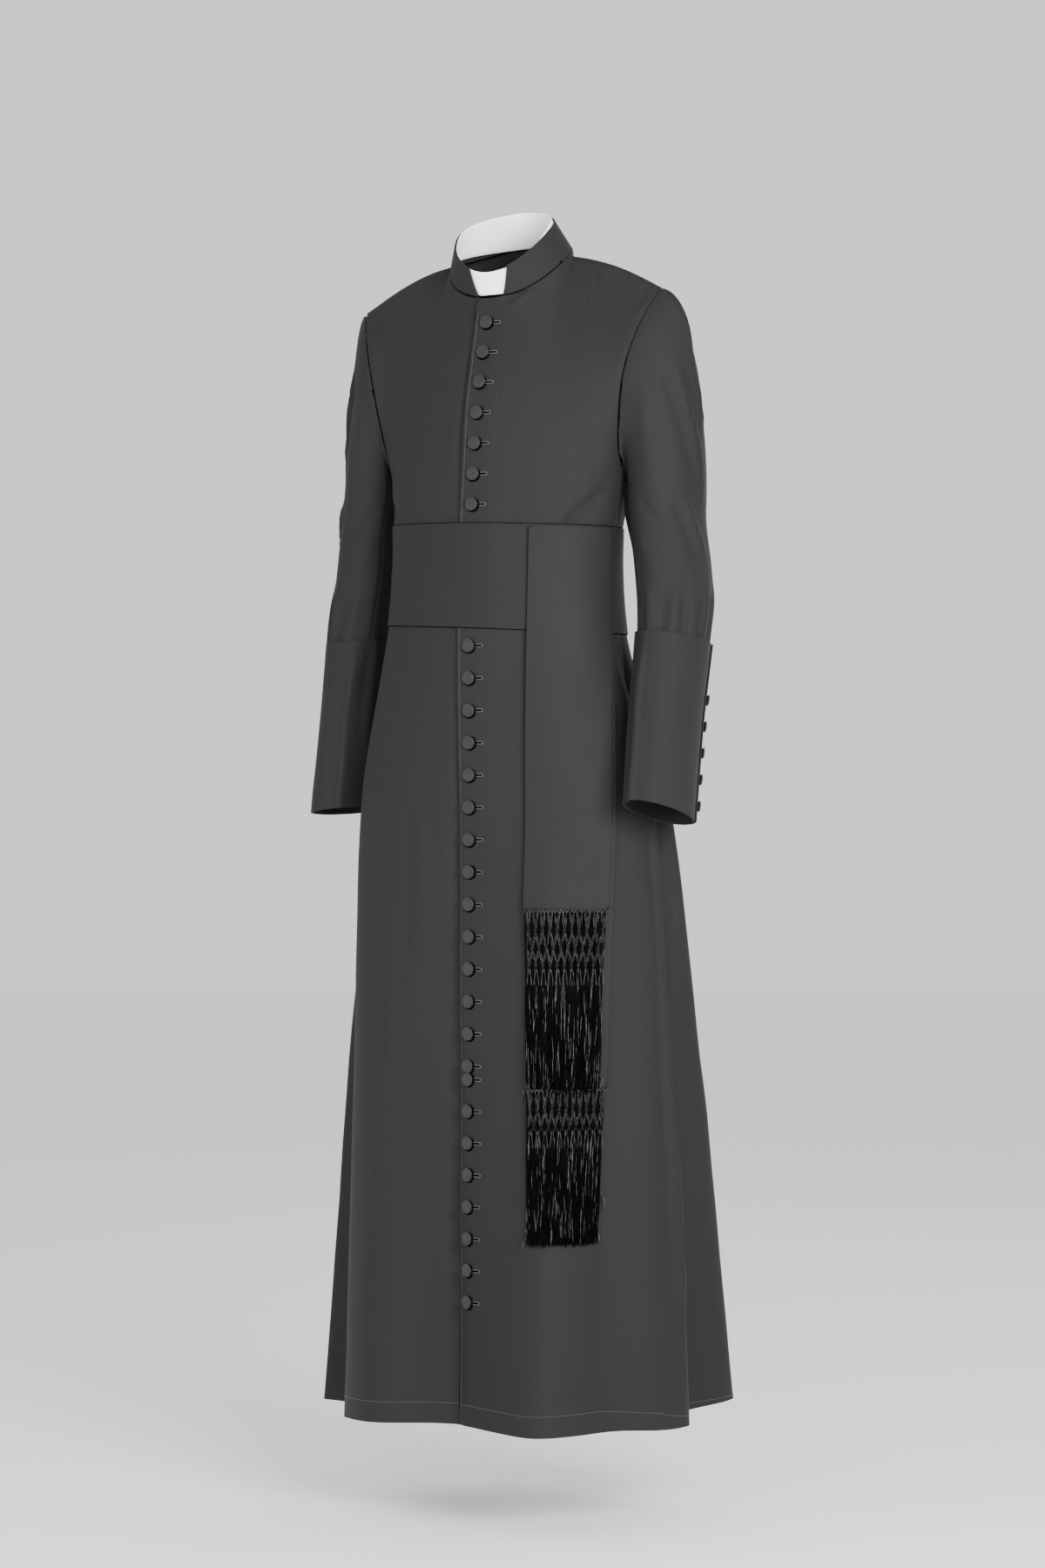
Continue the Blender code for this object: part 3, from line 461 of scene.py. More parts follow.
def place_on_arm(side):
    """The same as place_on_body, but round one arm's own middle line."""
    middle_x, middle_y = ARM_LINES[side]
    hand = 1 if side == "left" else -1

    def place(points):
        x = points[:, 0] * hand - np.interp(points[:, 2], ARM_HEIGHTS, middle_x)
        y = points[:, 1] - np.interp(points[:, 2], ARM_HEIGHTS, middle_y)
        out = np.column_stack([hand * x, y, np.maximum(points[:, 2] - SLEEVE_CROWN, 0)])
        degree = np.radians(1) * np.maximum(np.hypot(x, y), ARM_CORE)
        return np.degrees(np.arctan2(-y, x)), degree, out / np.linalg.norm(out, axis=1)[:, None]

    return place


sleeve_meshes = {}
for side, pair in SLEEVE_NODES.items():
    way = place_on_arm(side)
    for node, (flat, area) in zip(pair, SLEEVE_FLATS):
        sewn_to = sorted({f"bodice_front_{side}", f"bodice_back_{side}", *pair} - {node})
        piece = add_cloth("cloth_" + node, [node], WOOL, "wool_cloth", way, SLEEVE_FOLDS, sewn_to=sewn_to)
        sleeve_meshes[node] = piece.data


# ---- Cuffs
# A deep band of gabardine round each wrist, lapped behind it and closed with covered buttons.

CUFF_FOLDS = (
    (101, -0.43, 113, -0.79, 0.0085, 0.0044),
    (122, -0.43, 134, -0.79, 0.017, -0.0058),
    (84, -0.43, 94, -0.79, 0.014, -0.001),
    (72, -0.462, 66, -0.56, 0.012, -0.001),
    (20, -0.59, 28, -0.69, 0.014, 0.001),
)
CUFF_SWELL = 0.0006

cuff_meshes = {}
for side in ARM_LINES:
    node = f"cuff_{side}"
    way = place_on_arm(side)
    piece = add_cloth("cloth_" + node, [node], WOOL, "wool_cloth", way, CUFF_FOLDS, CUFF_SWELL)
    cuff_meshes[side] = piece.data


# ---- Collar and insert
# A stand of gabardine over canvas, cut away at the throat. A strip of smooth white plastic slips inside it
# and shows in the gap and as a fine line over its top edge.

COLLAR_SET_IN = 0.0012

even = {"place": place_on_body, "swell": 0}
collar = add_cloth("cloth_collar", ["collar"], WOOL, "wool_cloth", set_in=COLLAR_SET_IN, **even)

# Polypropylene sheet: even, white and a little glossy.
WHITE = new_material("polypropylene_sheet", "#FBFBF9", 0.32, IOR=1.49)
insert = add_cloth("white_collar_insert", ["collar_insert"], WHITE, "white_insert", set_in=0, **even)


# ---- Cincture
# A broad band of silk faille round the waist, with two tails that hang from its front on the wearer's left.

# Silk faille: fine crosswise ribs and a quiet lustre. Its ribs are 0.7 mm apart, and are drawn at 2.6 mm.
SILK = new_material(
    "silk_faille", "#1B1B1B", 0.68, 0.13, Sheen_Weight=0.03, Sheen_Roughness=0.35, Sheen_Tint=BLOOM
)
weave(SILK, "#191919", "#1C1C1C", 0.0026, 0, 0.00006, 0.1)

BAND_FOLDS = (
    (-14.5, -0.318, -14, -0.466, 0.005, -0.0007),
    (-60, -0.33, -30, -0.336, 0.012, -0.0008),
    (-52, -0.44, -22, -0.43, 0.014, -0.0008),
    (-78, -0.38, -60, -0.4, 0.012, 0.0008),
)

band = add_cloth("silk_cincture", ["cincture"], SILK, "silk_faille", place_on_body, BAND_FOLDS)

tail_meshes = {}
for tail, flat in (("back", (0.105, 0.73)), ("front", (0.105, 0.5))):
    node = f"tail_{tail}"
    piece = add_cloth("silk_" + node, [node], SILK, "silk_faille", place_on_body, set_in=COLLAR_SET_IN)
    tail_meshes[tail] = piece.data


# ---- Fringes
# Black silk cords are looped through the end of each tail, knotted into a net of diamonds, and gathered
# into eleven tassels of loose threads.


def uneven(material, dark, light, scale, stretch):
    """Colour that wanders between two shades in patches drawn out along Z."""
    place = add_node(material, "TexCoord").outputs["Object"]
    drawn_out = add_node(material, "Mapping", [("Vector", place), ("Scale", (1, 1, 1 / stretch))])
    blots = [("Vector", drawn_out.outputs[0]), ("Scale", scale), ("Detail", 1.5)]
    patches = add_node(material, "TexNoise", blots).outputs[0]
    share = add_node(material, "MapRange", [("Value", patches), ("From Min", 0.35), ("From Max", 0.65)])
    shades = [(0, share.outputs[0]), (6, hex_colour(dark)), (7, hex_colour(light))]
    colour = add_node(material, "Mix", shades, data_type="RGBA")
    material.node_tree.links.new(colour.outputs[2], shader_of(material).inputs["Base Color"])


# Spun silk: black and smooth, so that the threads that lie in each other's shade all but vanish.
THREAD = new_material("spun_silk", "#030304", 0.45, 0.02)
uneven(THREAD, "#010102", "#060607", 500, 12)
# The same silk laid up into cord, painted a little lighter than the threads for the light that its round
# strands catch.
CORD = new_material("silk_cord", "#0B0B0C", 0.38, 0.1)
uneven(CORD, "#060607", "#111113", 400, 2)
# Pale single fibres on the outside: painted highlights that stand for the shine along the black threads.
FIBRE = new_material("silk_fibre", "#38383B", 0.3, 0.25)
uneven(FIBRE, "#101012", "#646469", 500, 4)

TASSELS = 11
# Places across are shares of this width, and places out are measured from what lies under the fringe.
FRINGE_WIDTH = 0.1
FRINGE_MIDDLE, FRINGE_SPAN, FRINGE_LEAN = 0.485, 0.965, 0.1
# The small knots, and the pale loops of fibre that paint highlights, along the tail's end.
EYE_SIZE = (0.0022, 0.0016, 0.0018)
EYE_DROP = 0.0012
LOOP_STEPS = 6
LOOP_HALF, LOOP_DROP, LOOP_RISE, LOOP_OUT = 0.0017, 0.0035, 0.0038, 0.003
# The net: cords of two strands, which meet at knots.
NET_TOP = 0.004
NET_ROW = 0.0215
CORD_STEPS = 9
CORD_RADIUS = 0.00085
CORD_TWIST = 0.0008
CORD_PITCH = 0.006
CORD_BOW = 0.0006
CORD_OUT, KNOT_OUT, CORD_SINK = 0.0012, 0.0014, 0.001
CORDS_APART, CORD_REACH, SIDE_BOW = 0.3 / TASSELS, 0.6 / TASSELS, 0.22 / TASSELS
KNOT_SIZE = (0.0026, 0.002, 0.003)
KNOT_SHAKE, KNOT_TURN = 0.0008, 0.4
# A tassel: its head, and threads that open from a neck and spread from its middle.
HEAD_DROP, HEAD_OUT = 0.006, 0.0018
HEAD_SIZE = (0.0028, 0.002, 0.0036)
THREADS_A_TASSEL = 24
THREAD_RADIUS = 0.00062
THREAD_STEPS = 16
THREAD_WAVE, THREAD_THINS = 0.001, 0.015
THREAD_RADII = [THREAD_RADIUS * (1 - THREAD_THINS * step) for step in range(THREAD_STEPS + 1)]
TASSEL_SPREAD = 0.0048
TASSEL_NECK, TASSEL_OPENS = 0.45, 1.2
# Black threads that lie behind the rest, all over the fringe: painted shadow in the gaps of the net and
# between the tassels.
SHADOW_THREADS = 46
SHADOW_THREAD_RADIUS = 0.0012
# Pale single fibres on the cords, the heads and the threads: painted highlights.
GLINT_FIBRES_A_TASSEL = 9
FIBRE_STEPS = 6
FIBRE_RADIUS = 0.0002
FIBRE_SHAKE = 0.0002
HEAD_FIBRES = (-0.0014, 0.0015)
HEAD_FIBRE_OUT = 0.0042
HEAD_FORM = ((-0.001, 0.7), (0.003, 1), (0.009, 1.6), (0.018, 2.1))
# Stray threads that curl out near the foot: where across, their height, and how far they reach.
WISPS = {
    "front": ((1, -1.008, 0.0085), (0, -1.02, -0.0045)),
    "back": ((1, -1.15, 0.01), (1, -1.19, 0.007), (0, -1.196, -0.006)),
}
WISP_THREADS, WISP_STEPS = 7, 12
WISP_OUT, WISP_WAVE, WISP_CURL, WISP_RADIUS = 0.0034, 0.001, 1.6, FIBRE_RADIUS * 1.1
# The grid on which the fringe rests, how far it runs past the fringe, and how it is smoothed.
REST_ACROSS, REST_DOWN, REST_REACH, REST_ROUNDS = 30, 60, 2, 5
REST_ASIDE, REST_PAST, END_SHARE = 0.08, 0.02, 0.02
# Rows of knots, how far the top stands off what lies under it, and by what share the foot is narrower.
FRINGES = {"back": (2, 0.0036, 0.02), "front": (3, 0.001, 0.14)}
STAND_FADE = 0.7
RAY_START = 0.6


def way_out(turn):
    """The level way out from the body's middle at a turn."""
    angle = math.radians(turn)
    return Vector((math.sin(angle), -math.cos(angle), 0))


def on_body(tree, turn, z):
    """The outer face of the cloth at a turn and a height, and the way that it faces."""
    out = way_out(turn)
    point, facing, *_ = tree.ray_cast(out * RAY_START + Vector((0, 0, z)), -out)
    return point, facing


def neighbours(grid):
    """The values one step to each side of a grid's own, with its edge repeated."""
    wide = np.pad(grid, 1, mode="edge")
    return [wide[1:-1, :-2], wide[1:-1, 2:], wide[:-2, 1:-1], wide[2:, 1:-1]]


def fringe_place(node, under, stand, draw_in):
    """A function from a share of the width, a height and a distance out to a point over what lies under."""
    points = points_of(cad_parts[node].data)
    turns, _, _ = place_on_body(points)
    heights = points[:, 2]
    top, low = heights.max(), heights.min()
    share = (top - heights) / (top - low)
    ends = [(turns[part].min(), turns[part].max()) for part in (share < END_SHARE, share > 1 - END_SHARE)]

    def turn_of(across, down):
        first, last = (ends[0][side] + (ends[1][side] - ends[0][side]) * down for side in (0, 1))
        return first + (last - first) * across

    def cloth_radius(across, down):
        return on_body(under, turn_of(across, down), top + (low - top) * down)[0].xy.length

    # How far out the cloth lies under the fringe, smoothed so that the fringe bridges its steps.
    acrosses = np.linspace(-REST_ASIDE, 1 + REST_ASIDE, REST_ACROSS)
    downs = np.linspace(-REST_PAST, 1 + REST_PAST, REST_DOWN)
    rest = np.array([[cloth_radius(across, down) for across in acrosses] for down in downs])
    for _ in range(REST_REACH):
        rest = np.maximum.reduce([rest, *neighbours(rest)])
    for _ in range(REST_ROUNDS):
        rest = sum(neighbours(rest)) / 4

    def place(across, height, out, aside=0):
        across += aside / FRINGE_WIDTH
        down = (top - height) / (top - low)
        # A hair under the last row and column, so that there is one more to blend with.
        column = np.clip((across - acrosses[0]) / (acrosses[1] - acrosses[0]), 0, REST_ACROSS - 1.001)
        row = np.clip((down - downs[0]) / (downs[1] - downs[0]), 0, REST_DOWN - 1.001)
        i, j = int(row), int(column)
        u, v = row - i, column - j
        near = rest[i, j] * (1 - v) + rest[i, j + 1] * v
        far = rest[i + 1, j] * (1 - v) + rest[i + 1, j + 1] * v
        radius = near * (1 - u) + far * u + stand * (1 - STAND_FADE * min(max(down, 0), 1)) + out
        narrower = draw_in * max(down, 0)
        drawn_in = FRINGE_MIDDLE + (across - 0.5) * (FRINGE_SPAN - narrower) + FRINGE_LEAN * narrower
        angle = math.radians(turn_of(drawn_in, down))
        return Vector((math.sin(angle) * radius, -math.cos(angle) * radius, height))

    return place, top, low


def cords_mesh(name, paths, sides_level=0):
    """Round threads along many paths of (point, radius), as one mesh."""
    curve = bpy.data.curves.new(name, "CURVE")
    curve.dimensions = "3D"
    curve.bevel_depth = 1
    curve.bevel_resolution = sides_level
    curve.use_fill_caps = True
    for path in paths:
        spline = curve.splines.new("POLY")
        spline.points.add(len(path) - 1)
        for knot, (point, radius) in zip(spline.points, path):
            knot.co = (*point, 1)
            knot.radius = radius
    guide = new_object(name, curve)
    graph = bpy.context.evaluated_depsgraph_get()
    mesh = bpy.data.meshes.new_from_object(guide.evaluated_get(graph))
    bpy.data.objects.remove(guide)
    return mesh


def twisted_cord(place, start, end, out, phase):
    """The paths of two threads that twist round each other from one knot to the next."""
    start, way = np.array(start), np.subtract(end, start)
    length = math.hypot(way[0] * FRINGE_WIDTH, way[1])
    paths = []
    for strand in (0, math.pi):
        path = []
        for step in range(CORD_STEPS + 1):
            share = step / CORD_STEPS
            angle = strand + phase + 2 * math.pi * length * share / CORD_PITCH
            across, height = start + way * share
            bulge = out + CORD_TWIST * math.sin(angle) + CORD_BOW * math.sin(math.pi * share)
            path.append((place(across, height, bulge, CORD_TWIST * math.cos(angle)), CORD_RADIUS))
        paths.append(path)
    return paths


def add_bead(shell, place, across, height, out, size, turn=0):
    """A knot: a small oval lump of wound cord."""
    middle = place(across, height, out)
    beside = (place(across + 0.02, height, out) - middle).normalized()
    away = beside.cross(Vector((0, 0, 1))).normalized()
    axes = Matrix((beside, away, Vector((0, 0, 1)))).transposed().to_4x4()
    lump = Matrix.Translation(middle) @ axes @ Matrix.Rotation(turn, 4, "Y") @ Matrix.Diagonal((*size, 1))
    bmesh.ops.create_uvsphere(shell, u_segments=8, v_segments=6, radius=1, matrix=lump)


def painted_glints_on_cord(place, start, end, out):
    """Pale fibres along both sides of a cord, over part of its length: a painted highlight."""
    start, way = np.array(start), np.subtract(end, start)
    paths = []
    for side in (-1, 1):
        first, last = random.uniform(0, 0.45), random.uniform(0.55, 1)
        path = []
        for step in range(FIBRE_STEPS + 1):
            share = first + (last - first) * step / FIBRE_STEPS
            aside = side * CORD_RADIUS * 1.3 + random.uniform(-FIBRE_SHAKE, FIBRE_SHAKE)
            across, height = start + way * share
            point = place(across, height, out + CORD_RADIUS, aside)
            path.append((point, FIBRE_RADIUS * random.uniform(0.6, 1.1)))
        paths.append(path)
    return paths


def hanging(across, head, foot, offset, depth, sway, bend):
    """The route of one thread of a tassel, which spreads from its head and wanders on its way down."""
    uniform = random.uniform
    waves = [(uniform(0.0002, bend), uniform(5, 17), uniform(0, 6.3)) for _ in range(2)]
    route = []
    for step in range(THREAD_STEPS + 1):
        share = step / THREAD_STEPS
        opened = min(1, 3 * share)
        side = offset * min(1, TASSEL_NECK + TASSEL_OPENS * share) + sway * share * share
        side += sum(size * math.sin(rate * share + start) * opened for size, rate, start in waves)
        out = CORD_OUT + (depth - CORD_OUT) * opened + 0.0004 * math.sin(9 * share + waves[0][2])
        route.append((across + side / FRINGE_WIDTH, head + (foot - head) * share, out))
    return route


def add_loops(place, top, knots, fibres):
    """A row of small pale loops through the tail's end, painted highlights, each one held by a small knot.
    """
    for column in range(2 * TASSELS + 1):
        across = column / (2 * TASSELS)
        add_bead(knots, place, across, top - EYE_DROP, CORD_OUT, EYE_SIZE)
        loop = []
        for step in range(LOOP_STEPS + 1):
            angle = math.pi * step / LOOP_STEPS
            aside = LOOP_HALF * math.cos(angle) + random.uniform(-FIBRE_SHAKE, FIBRE_SHAKE)
            height = top - LOOP_DROP + LOOP_RISE * math.sin(angle)
            loop.append((place(across, height, LOOP_OUT, aside), FIBRE_RADIUS))
        fibres.append(loop)


def add_net(place, top, rows, knots, cords, fibres):
    """Rows of knots, each tied from two cords. Gives back where the last row's knots are."""

    def add_cord(start, end, out):
        cords.extend(twisted_cord(place, start, end, out, random.uniform(0, 6)))
        fibres.extend(painted_glints_on_cord(place, start, end, out))

    above = []
    for row in range(rows):
        height = top - NET_TOP - NET_ROW * (row + 1)
        columns = [(column + 0.5 + 0.5 * (row % 2)) / TASSELS for column in range(TASSELS - row % 2)]
        for across in columns:
            knot = (across, height + random.uniform(-KNOT_SHAKE, KNOT_SHAKE))
            starts = [(other, height + NET_ROW) for other in above if abs(other - across) < CORD_REACH]
            if row == 0:
                starts = [(across + side, top - CORD_SINK) for side in (-CORDS_APART, CORDS_APART)]
            for start in starts:
                add_cord(start, knot, CORD_OUT + random.uniform(0, CORD_BOW))
            if row < rows - 1:
                add_bead(knots, place, *knot, KNOT_OUT, KNOT_SIZE, random.uniform(-KNOT_TURN, KNOT_TURN))
        # Where a row is half a diamond narrower, a cord runs down each side.
        if row % 2:
            for edge, bow in ((0.5 / TASSELS, -SIDE_BOW), (1 - 0.5 / TASSELS, SIDE_BOW)):
                add_cord((edge, height + NET_ROW), (edge + bow, height), CORD_OUT)
                if row < rows - 1:
                    add_cord((edge + bow, height), (edge, height - NET_ROW), CORD_OUT)
        above = columns
    return above, height


def add_tassel(place, across, starts, height, low, knots, cords, threads, fibres):
    """One tassel, bound under the knot that its cords come from."""
    head = height - HEAD_DROP
    for start in starts:
        cords += twisted_cord(place, (start, height), (across, head), KNOT_OUT, random.uniform(0, 6))
    add_bead(knots, place, across, height if starts == [across] else head, KNOT_OUT, KNOT_SIZE)
    add_bead(knots, place, across, head, HEAD_OUT, HEAD_SIZE)
    for aside in HEAD_FIBRES:
        spots = [place(across, head - drop, HEAD_FIBRE_OUT, aside * out) for drop, out in HEAD_FORM]
        fibres.append([(spot, FIBRE_RADIUS) for spot in spots])
    routes = []
    for _ in range(THREADS_A_TASSEL):
        foot = low + 0.001 + random.triangular(0, 0.012, 0.003)
        offset = TASSEL_SPREAD * random.uniform(-1, 1)
        depth = random.uniform(0.001, 0.0038)
        routes.append(hanging(across, head, foot, offset, depth, random.gauss(0, 0.0022), THREAD_WAVE))
        threads.append([(place(*at), radius) for at, radius in zip(routes[-1], THREAD_RADII)])
    # Pale fibres over some of the outer threads, for a little way, paint the highlight along them.
    outer = sorted(routes, key=lambda route: route[-1][2])[THREADS_A_TASSEL // 3 :]
    for _ in range(GLINT_FIBRES_A_TASSEL):
        route = random.choice(outer)
        length = random.randint(2, 5)
        first = random.randint(0, THREAD_STEPS - length)
        aside = random.uniform(-0.0003, 0.0003)
        fibre = []
        for step, (beside, z, out) in enumerate(route[first : first + length + 1]):
            swelling = 0.35 + 0.8 * math.sin(math.pi * (step + 0.5) / (length + 1))
            fibre.append((place(beside, z, out + THREAD_RADIUS, aside), FIBRE_RADIUS * swelling))
        fibres.append(fibre)


def stray_threads(place, across, height, reach):
    """Threads that curl out near the fringe's foot."""
    wisps = []
    for _ in range(WISP_THREADS):
        turns, size = random.uniform(3, 7), reach * random.uniform(0.4, 1)
        drop, phase = random.uniform(0.014, 0.026), random.uniform(0, 6)
        wisp = []
        for step in range(WISP_STEPS + 1):
            share = step / WISP_STEPS
            aside = size * math.sin(WISP_CURL * share) + WISP_WAVE * math.sin(turns * share + phase)
            wisp.append((place(across, height - drop * share, WISP_OUT, aside), WISP_RADIUS))
        wisps.append(wisp)
    return wisps


for tail, (rows, stand, draw_in) in FRINGES.items():
    node = f"fringe_{tail}"
    under = [body_meshes["front_left"]] + ([tail_meshes["back"]] if tail == "front" else [])
    place, top, low = fringe_place(node, tree_of(*under), stand, draw_in)
    threads, cords, fibres, knots = [], [], [], bmesh.new()
    add_loops(place, top, knots, fibres)
    above, height = add_net(place, top, rows, knots, cords, fibres)
    for column in range(TASSELS):
        across = (column + 0.5) / TASSELS
        starts = [other for other in above if abs(other - across) < CORD_REACH]
        add_tassel(place, across, starts, height, low, knots, cords, threads, fibres)

    # Black threads behind: painted shadow, which darkens the gaps.
    for number in range(SHADOW_THREADS):
        across, sway = (number + 0.5) / SHADOW_THREADS, random.gauss(0, 0.0006)
        route = hanging(across, top - NET_TOP, low + 0.006, 0, 0, sway, 0.0004)
        threads.append([(place(across, z, 0.0002), SHADOW_THREAD_RADIUS) for across, z, _ in route])
    for wisp in WISPS[tail]:
        for number, path in enumerate(stray_threads(place, *wisp)):
            # Every third stray thread is a pale fibre: a painted highlight.
            (threads if number % 3 else fibres).append(path)

    net = bmesh.new()
    net.from_mesh(cords_mesh(node + "_cords", cords))
    net.from_mesh(mesh_from(knots, node + "_knots"))
    for mesh, material, nodes in (
        (cords_mesh(f"silk_fringe_{tail}", threads), THREAD, [node]),
        (mesh_from(net, f"silk_net_{tail}"), CORD, []),
        (cords_mesh(f"silk_painted_glints_{tail}", fibres), FIBRE, []),
    ):
        mesh.shade_smooth()
        put_in_scene(mesh, material, nodes)


# ---- Buttons
# Small domed moulds covered with the garment's own gabardine, sewn down the edge of the right front through
# buttonholes in the left one, and along the lap of each cuff.

# Black cotton lining in the seam tapes. The same black is painted shadow under the buttons, in the
# buttonhole slits, beside the left front's edge and along the cincture's edges.
LINING_AND_SHADOW = new_material("cotton_lining", "#060606", 0.9, 0)
uneven(LINING_AND_SHADOW, "#040404", "#090909", 600, 1)

# Radius and height, from the middle of the dark disc of painted shadow under the button up over the mould.
BUTTON_PROFILE = (
    (0, -0.0004), (0.0092, -0.0004), (0.0093, 0.0006), (0.0064, 0.0007), (0.0072, 0.0014), (0.0081, 0.0022),
    (0.0083, 0.0029), (0.008, 0.0037), (0.0071, 0.0043), (0.005, 0.0047), (0.0025, 0.0049), (0, 0.005),
)
# The cuffs' buttons are smaller and have no disc of painted shadow.
CUFF_SIZE, CUFF_PROFILE = 0.86, ((0, 0.0004), *BUTTON_PROFILE[3:])
BUTTON_STEPS = 28
# The disc of painted shadow is shifted so that it shows most below the button, on the wearer's left, where
# its shadow falls.
SHADOW_DISC_RIM = 0.0088
SHADOW_DISC_SHIFT = Vector((0.0008, -0.0009, 0))
SHADED_BASE_TOP = 0.0015
BUTTON_REACH = 0.012
BUTTON_TURN = 0.5
# The same gabardine over the mould, painted a little lighter than the garment's cloth for the light that
# the buttons' raised faces catch.
COVER = new_material("wool_gabardine_stretched", "#202021", 0.6, 0.15, Sheen_Weight=0.1)
weave(COVER, "#1B1B1C", "#252526", 0.0016, 27, 0.00008, 0.5)


def button_mesh(size, profile):
    """One covered button, with a UV map in metres so that its cloth has the garment's own twill."""
    shape = bmesh.new()
    line = [shape.verts.new((radius * size, 0, height * size)) for radius, height in profile]
    line += [shape.edges.new(pair) for pair in zip(line, line[1:])]
    way_round = {"axis": (0, 0, 1), "angle": math.tau, "steps": BUTTON_STEPS, "use_merge": True}
    bmesh.ops.spin(shape, geom=line, cent=(0, 0, 0), **way_round)
    bmesh.ops.remove_doubles(shape, verts=shape.verts, dist=MERGE_DISTANCE)
    bmesh.ops.recalc_face_normals(shape, faces=shape.faces)
    for vert in shape.verts:
        if vert.co.xy.length > SHADOW_DISC_RIM * size:
            vert.co += SHADOW_DISC_SHIFT
    layer = shape.loops.layers.uv.new("cloth")
    for face in shape.faces:
        # The faces low on the button, its shank and the disc under it, are dark: painted shadow.
        face.material_index = int(face.calc_center_median().z < SHADED_BASE_TOP)
        for loop in face.loops:
            loop[layer].uv = loop.vert.co.xy
    return mesh_from(shape, "button")


def button_seat(node, place):
    """A button's seat and the way it faces, read from its solid."""
    points = points_of(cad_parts[node].data)
    middle = points.mean(axis=0)
    axis = np.linalg.svd(points - middle, full_matrices=False)[2][2]
    if axis @ place(middle[None])[2][0] < 0:
        axis = -axis
    return Vector(middle + axis * ((points - middle) @ axis).min()), Vector(axis)


def button_row(name, start, place, cloth, shape):
    """Buttons where the solids have them, each set down on the cloth under it. Gives back their seats."""
    row, seats = bmesh.new(), []
    nodes = sorted(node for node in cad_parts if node.startswith(start))
    for node in nodes:
        seat, facing = button_seat(node, place)
        point, normal, *_ = cloth.ray_cast(seat + facing * BUTTON_REACH, -facing, 2 * BUTTON_REACH)
        seats.append((point, normal) if point else (seat, facing))
    for seat, facing in seats:
        row.from_mesh(shape)
        row.verts.ensure_lookup_table()
        new = row.verts[-len(shape.vertices) :]
        turn = Matrix.Rotation(random.uniform(-BUTTON_TURN, BUTTON_TURN), 4, "Z")
        spot = Matrix.Translation(seat) @ facing.to_track_quat("Z", "Y").to_matrix().to_4x4() @ turn
        bmesh.ops.transform(row, matrix=spot, verts=new)
    mesh = mesh_from(row, name)
    mesh.shade_smooth()
    put_in_scene(mesh, COVER, nodes)
    mesh.materials.append(LINING_AND_SHADOW)
    return seats


front_button, cuff_button = button_mesh(1, BUTTON_PROFILE), button_mesh(CUFF_SIZE, CUFF_PROFILE)
front_tree = tree_of(body_meshes["front_left"])
front_seats = button_row("covered_buttons_front", "button_front", place_on_body, front_tree, front_button)
for side, mesh in cuff_meshes.items():
    name, start = f"covered_buttons_cuff_{side}", f"button_cuff_{side}"
    button_row(name, start, place_on_arm(side), tree_of(mesh), cuff_button)


# ---- Stitching
# Buttonholes worked by hand round a slit, a row of machine stitches along the left front's edge, and the
# stitches that hold up the hem. The thread is a little paler than the cloth.

# Silk sewing thread, waxed.
STITCHES = new_material("sewing_thread", "#48484A", 0.5, 0.25, Sheen_Weight=0.1)
EDGE_HEIGHTS = np.arange(-1.432, -0.056, 0.006)
EDGE_ROW_IN = 0.0038
HEM_ROW_UP = 0.026
STITCH_LENGTH = 0.0026
STITCH_STEP = 0.0034
# A stitch's form: share of its length, rise over the cloth, radius.
STITCH_FORM = ((0, -0.0003, 0.0002), (0.2, 0.0001, 0.0003), (0.8, 0.0001, 0.0003), (1, -0.0003, 0.0002))
# The black cord of painted shadow beside the left front's edge, and where and by how much it widens.
EDGE_SHADOW_ASIDE, EDGE_SHADOW_SINK, EDGE_SHADOW_RADIUS = 0.0011, 0.0004, 0.0012
EDGE_SHADOW_WIDENS, EDGE_SHADOW_WIDENED, EDGE_SHADOW_WIDER = -0.085, 0.02, 0.0016
# Where rays start to look for an edge, in degrees or metres, and their coarse steps.
FRONT_EDGE, FRONT_STEP = -22, 0.5
HEM_EDGE, NECK_EDGE, EDGE_STEP = -1.5, -0.1, 0.004

skirt_tree = tree_of(*body_meshes.values())


def stitch_paths(path):
    """Stitches along a path of points on the cloth, each one a short thread whose ends dive into it."""
    paths, carry = [], 0
    for (start, facing), (end, _) in zip(path, path[1:]):
        length = (end - start).length
        along = (end - start) / max(length, MERGE_DISTANCE)
        while carry < length:
            stitch = []
            for place, rise, radius in STITCH_FORM:
                point = start + along * (carry + place * STITCH_LENGTH) + facing * rise
                stitch.append((point, radius))
            paths.append(stitch)
            carry += STITCH_STEP
        carry -= length
    return paths


def first_hit(hits, start, step):
    """The first value from start at which a ray meets the cloth, to a tenth of a step."""
    value = start
    while not hits(value):
        value += step
    value -= step
    while not hits(value):
        value += step / 10
    return value


def on_near_side(point, turn):
    """Whether a ray met the near side of a ring of cloth, and not the inside of its far side."""
    return point and point.dot(way_out(turn)) > 0


edge_path, edge_shadow_line = [], []
under_tree = tree_of(body_meshes["front_right"])
for z in EDGE_HEIGHTS:
    edge = first_hit(lambda turn: on_body(front_tree, turn, z)[0], FRONT_EDGE, FRONT_STEP)
    degree = math.radians(1) * on_body(front_tree, edge + FRONT_STEP, z)[0].xy.length
    edge_shadow_line.append(on_body(under_tree, edge - EDGE_SHADOW_ASIDE / degree, z))
    edge_path.append(on_body(front_tree, edge + EDGE_ROW_IN / degree, z))
stitches = stitch_paths(edge_path)

hem_path = []
for turn in range(-180, 181):
    hem = first_hit(lambda z: on_body(skirt_tree, turn, z)[0], HEM_EDGE, EDGE_STEP)
    point, facing = on_body(skirt_tree, turn, hem + HEM_ROW_UP)
    if point:
        hem_path.append((point, facing))
stitches += stitch_paths(hem_path)

stitch_mesh = cords_mesh("edge_and_hem_stitches", stitches)
stitch_mesh.shade_smooth()
put_in_scene(stitch_mesh, STITCHES)

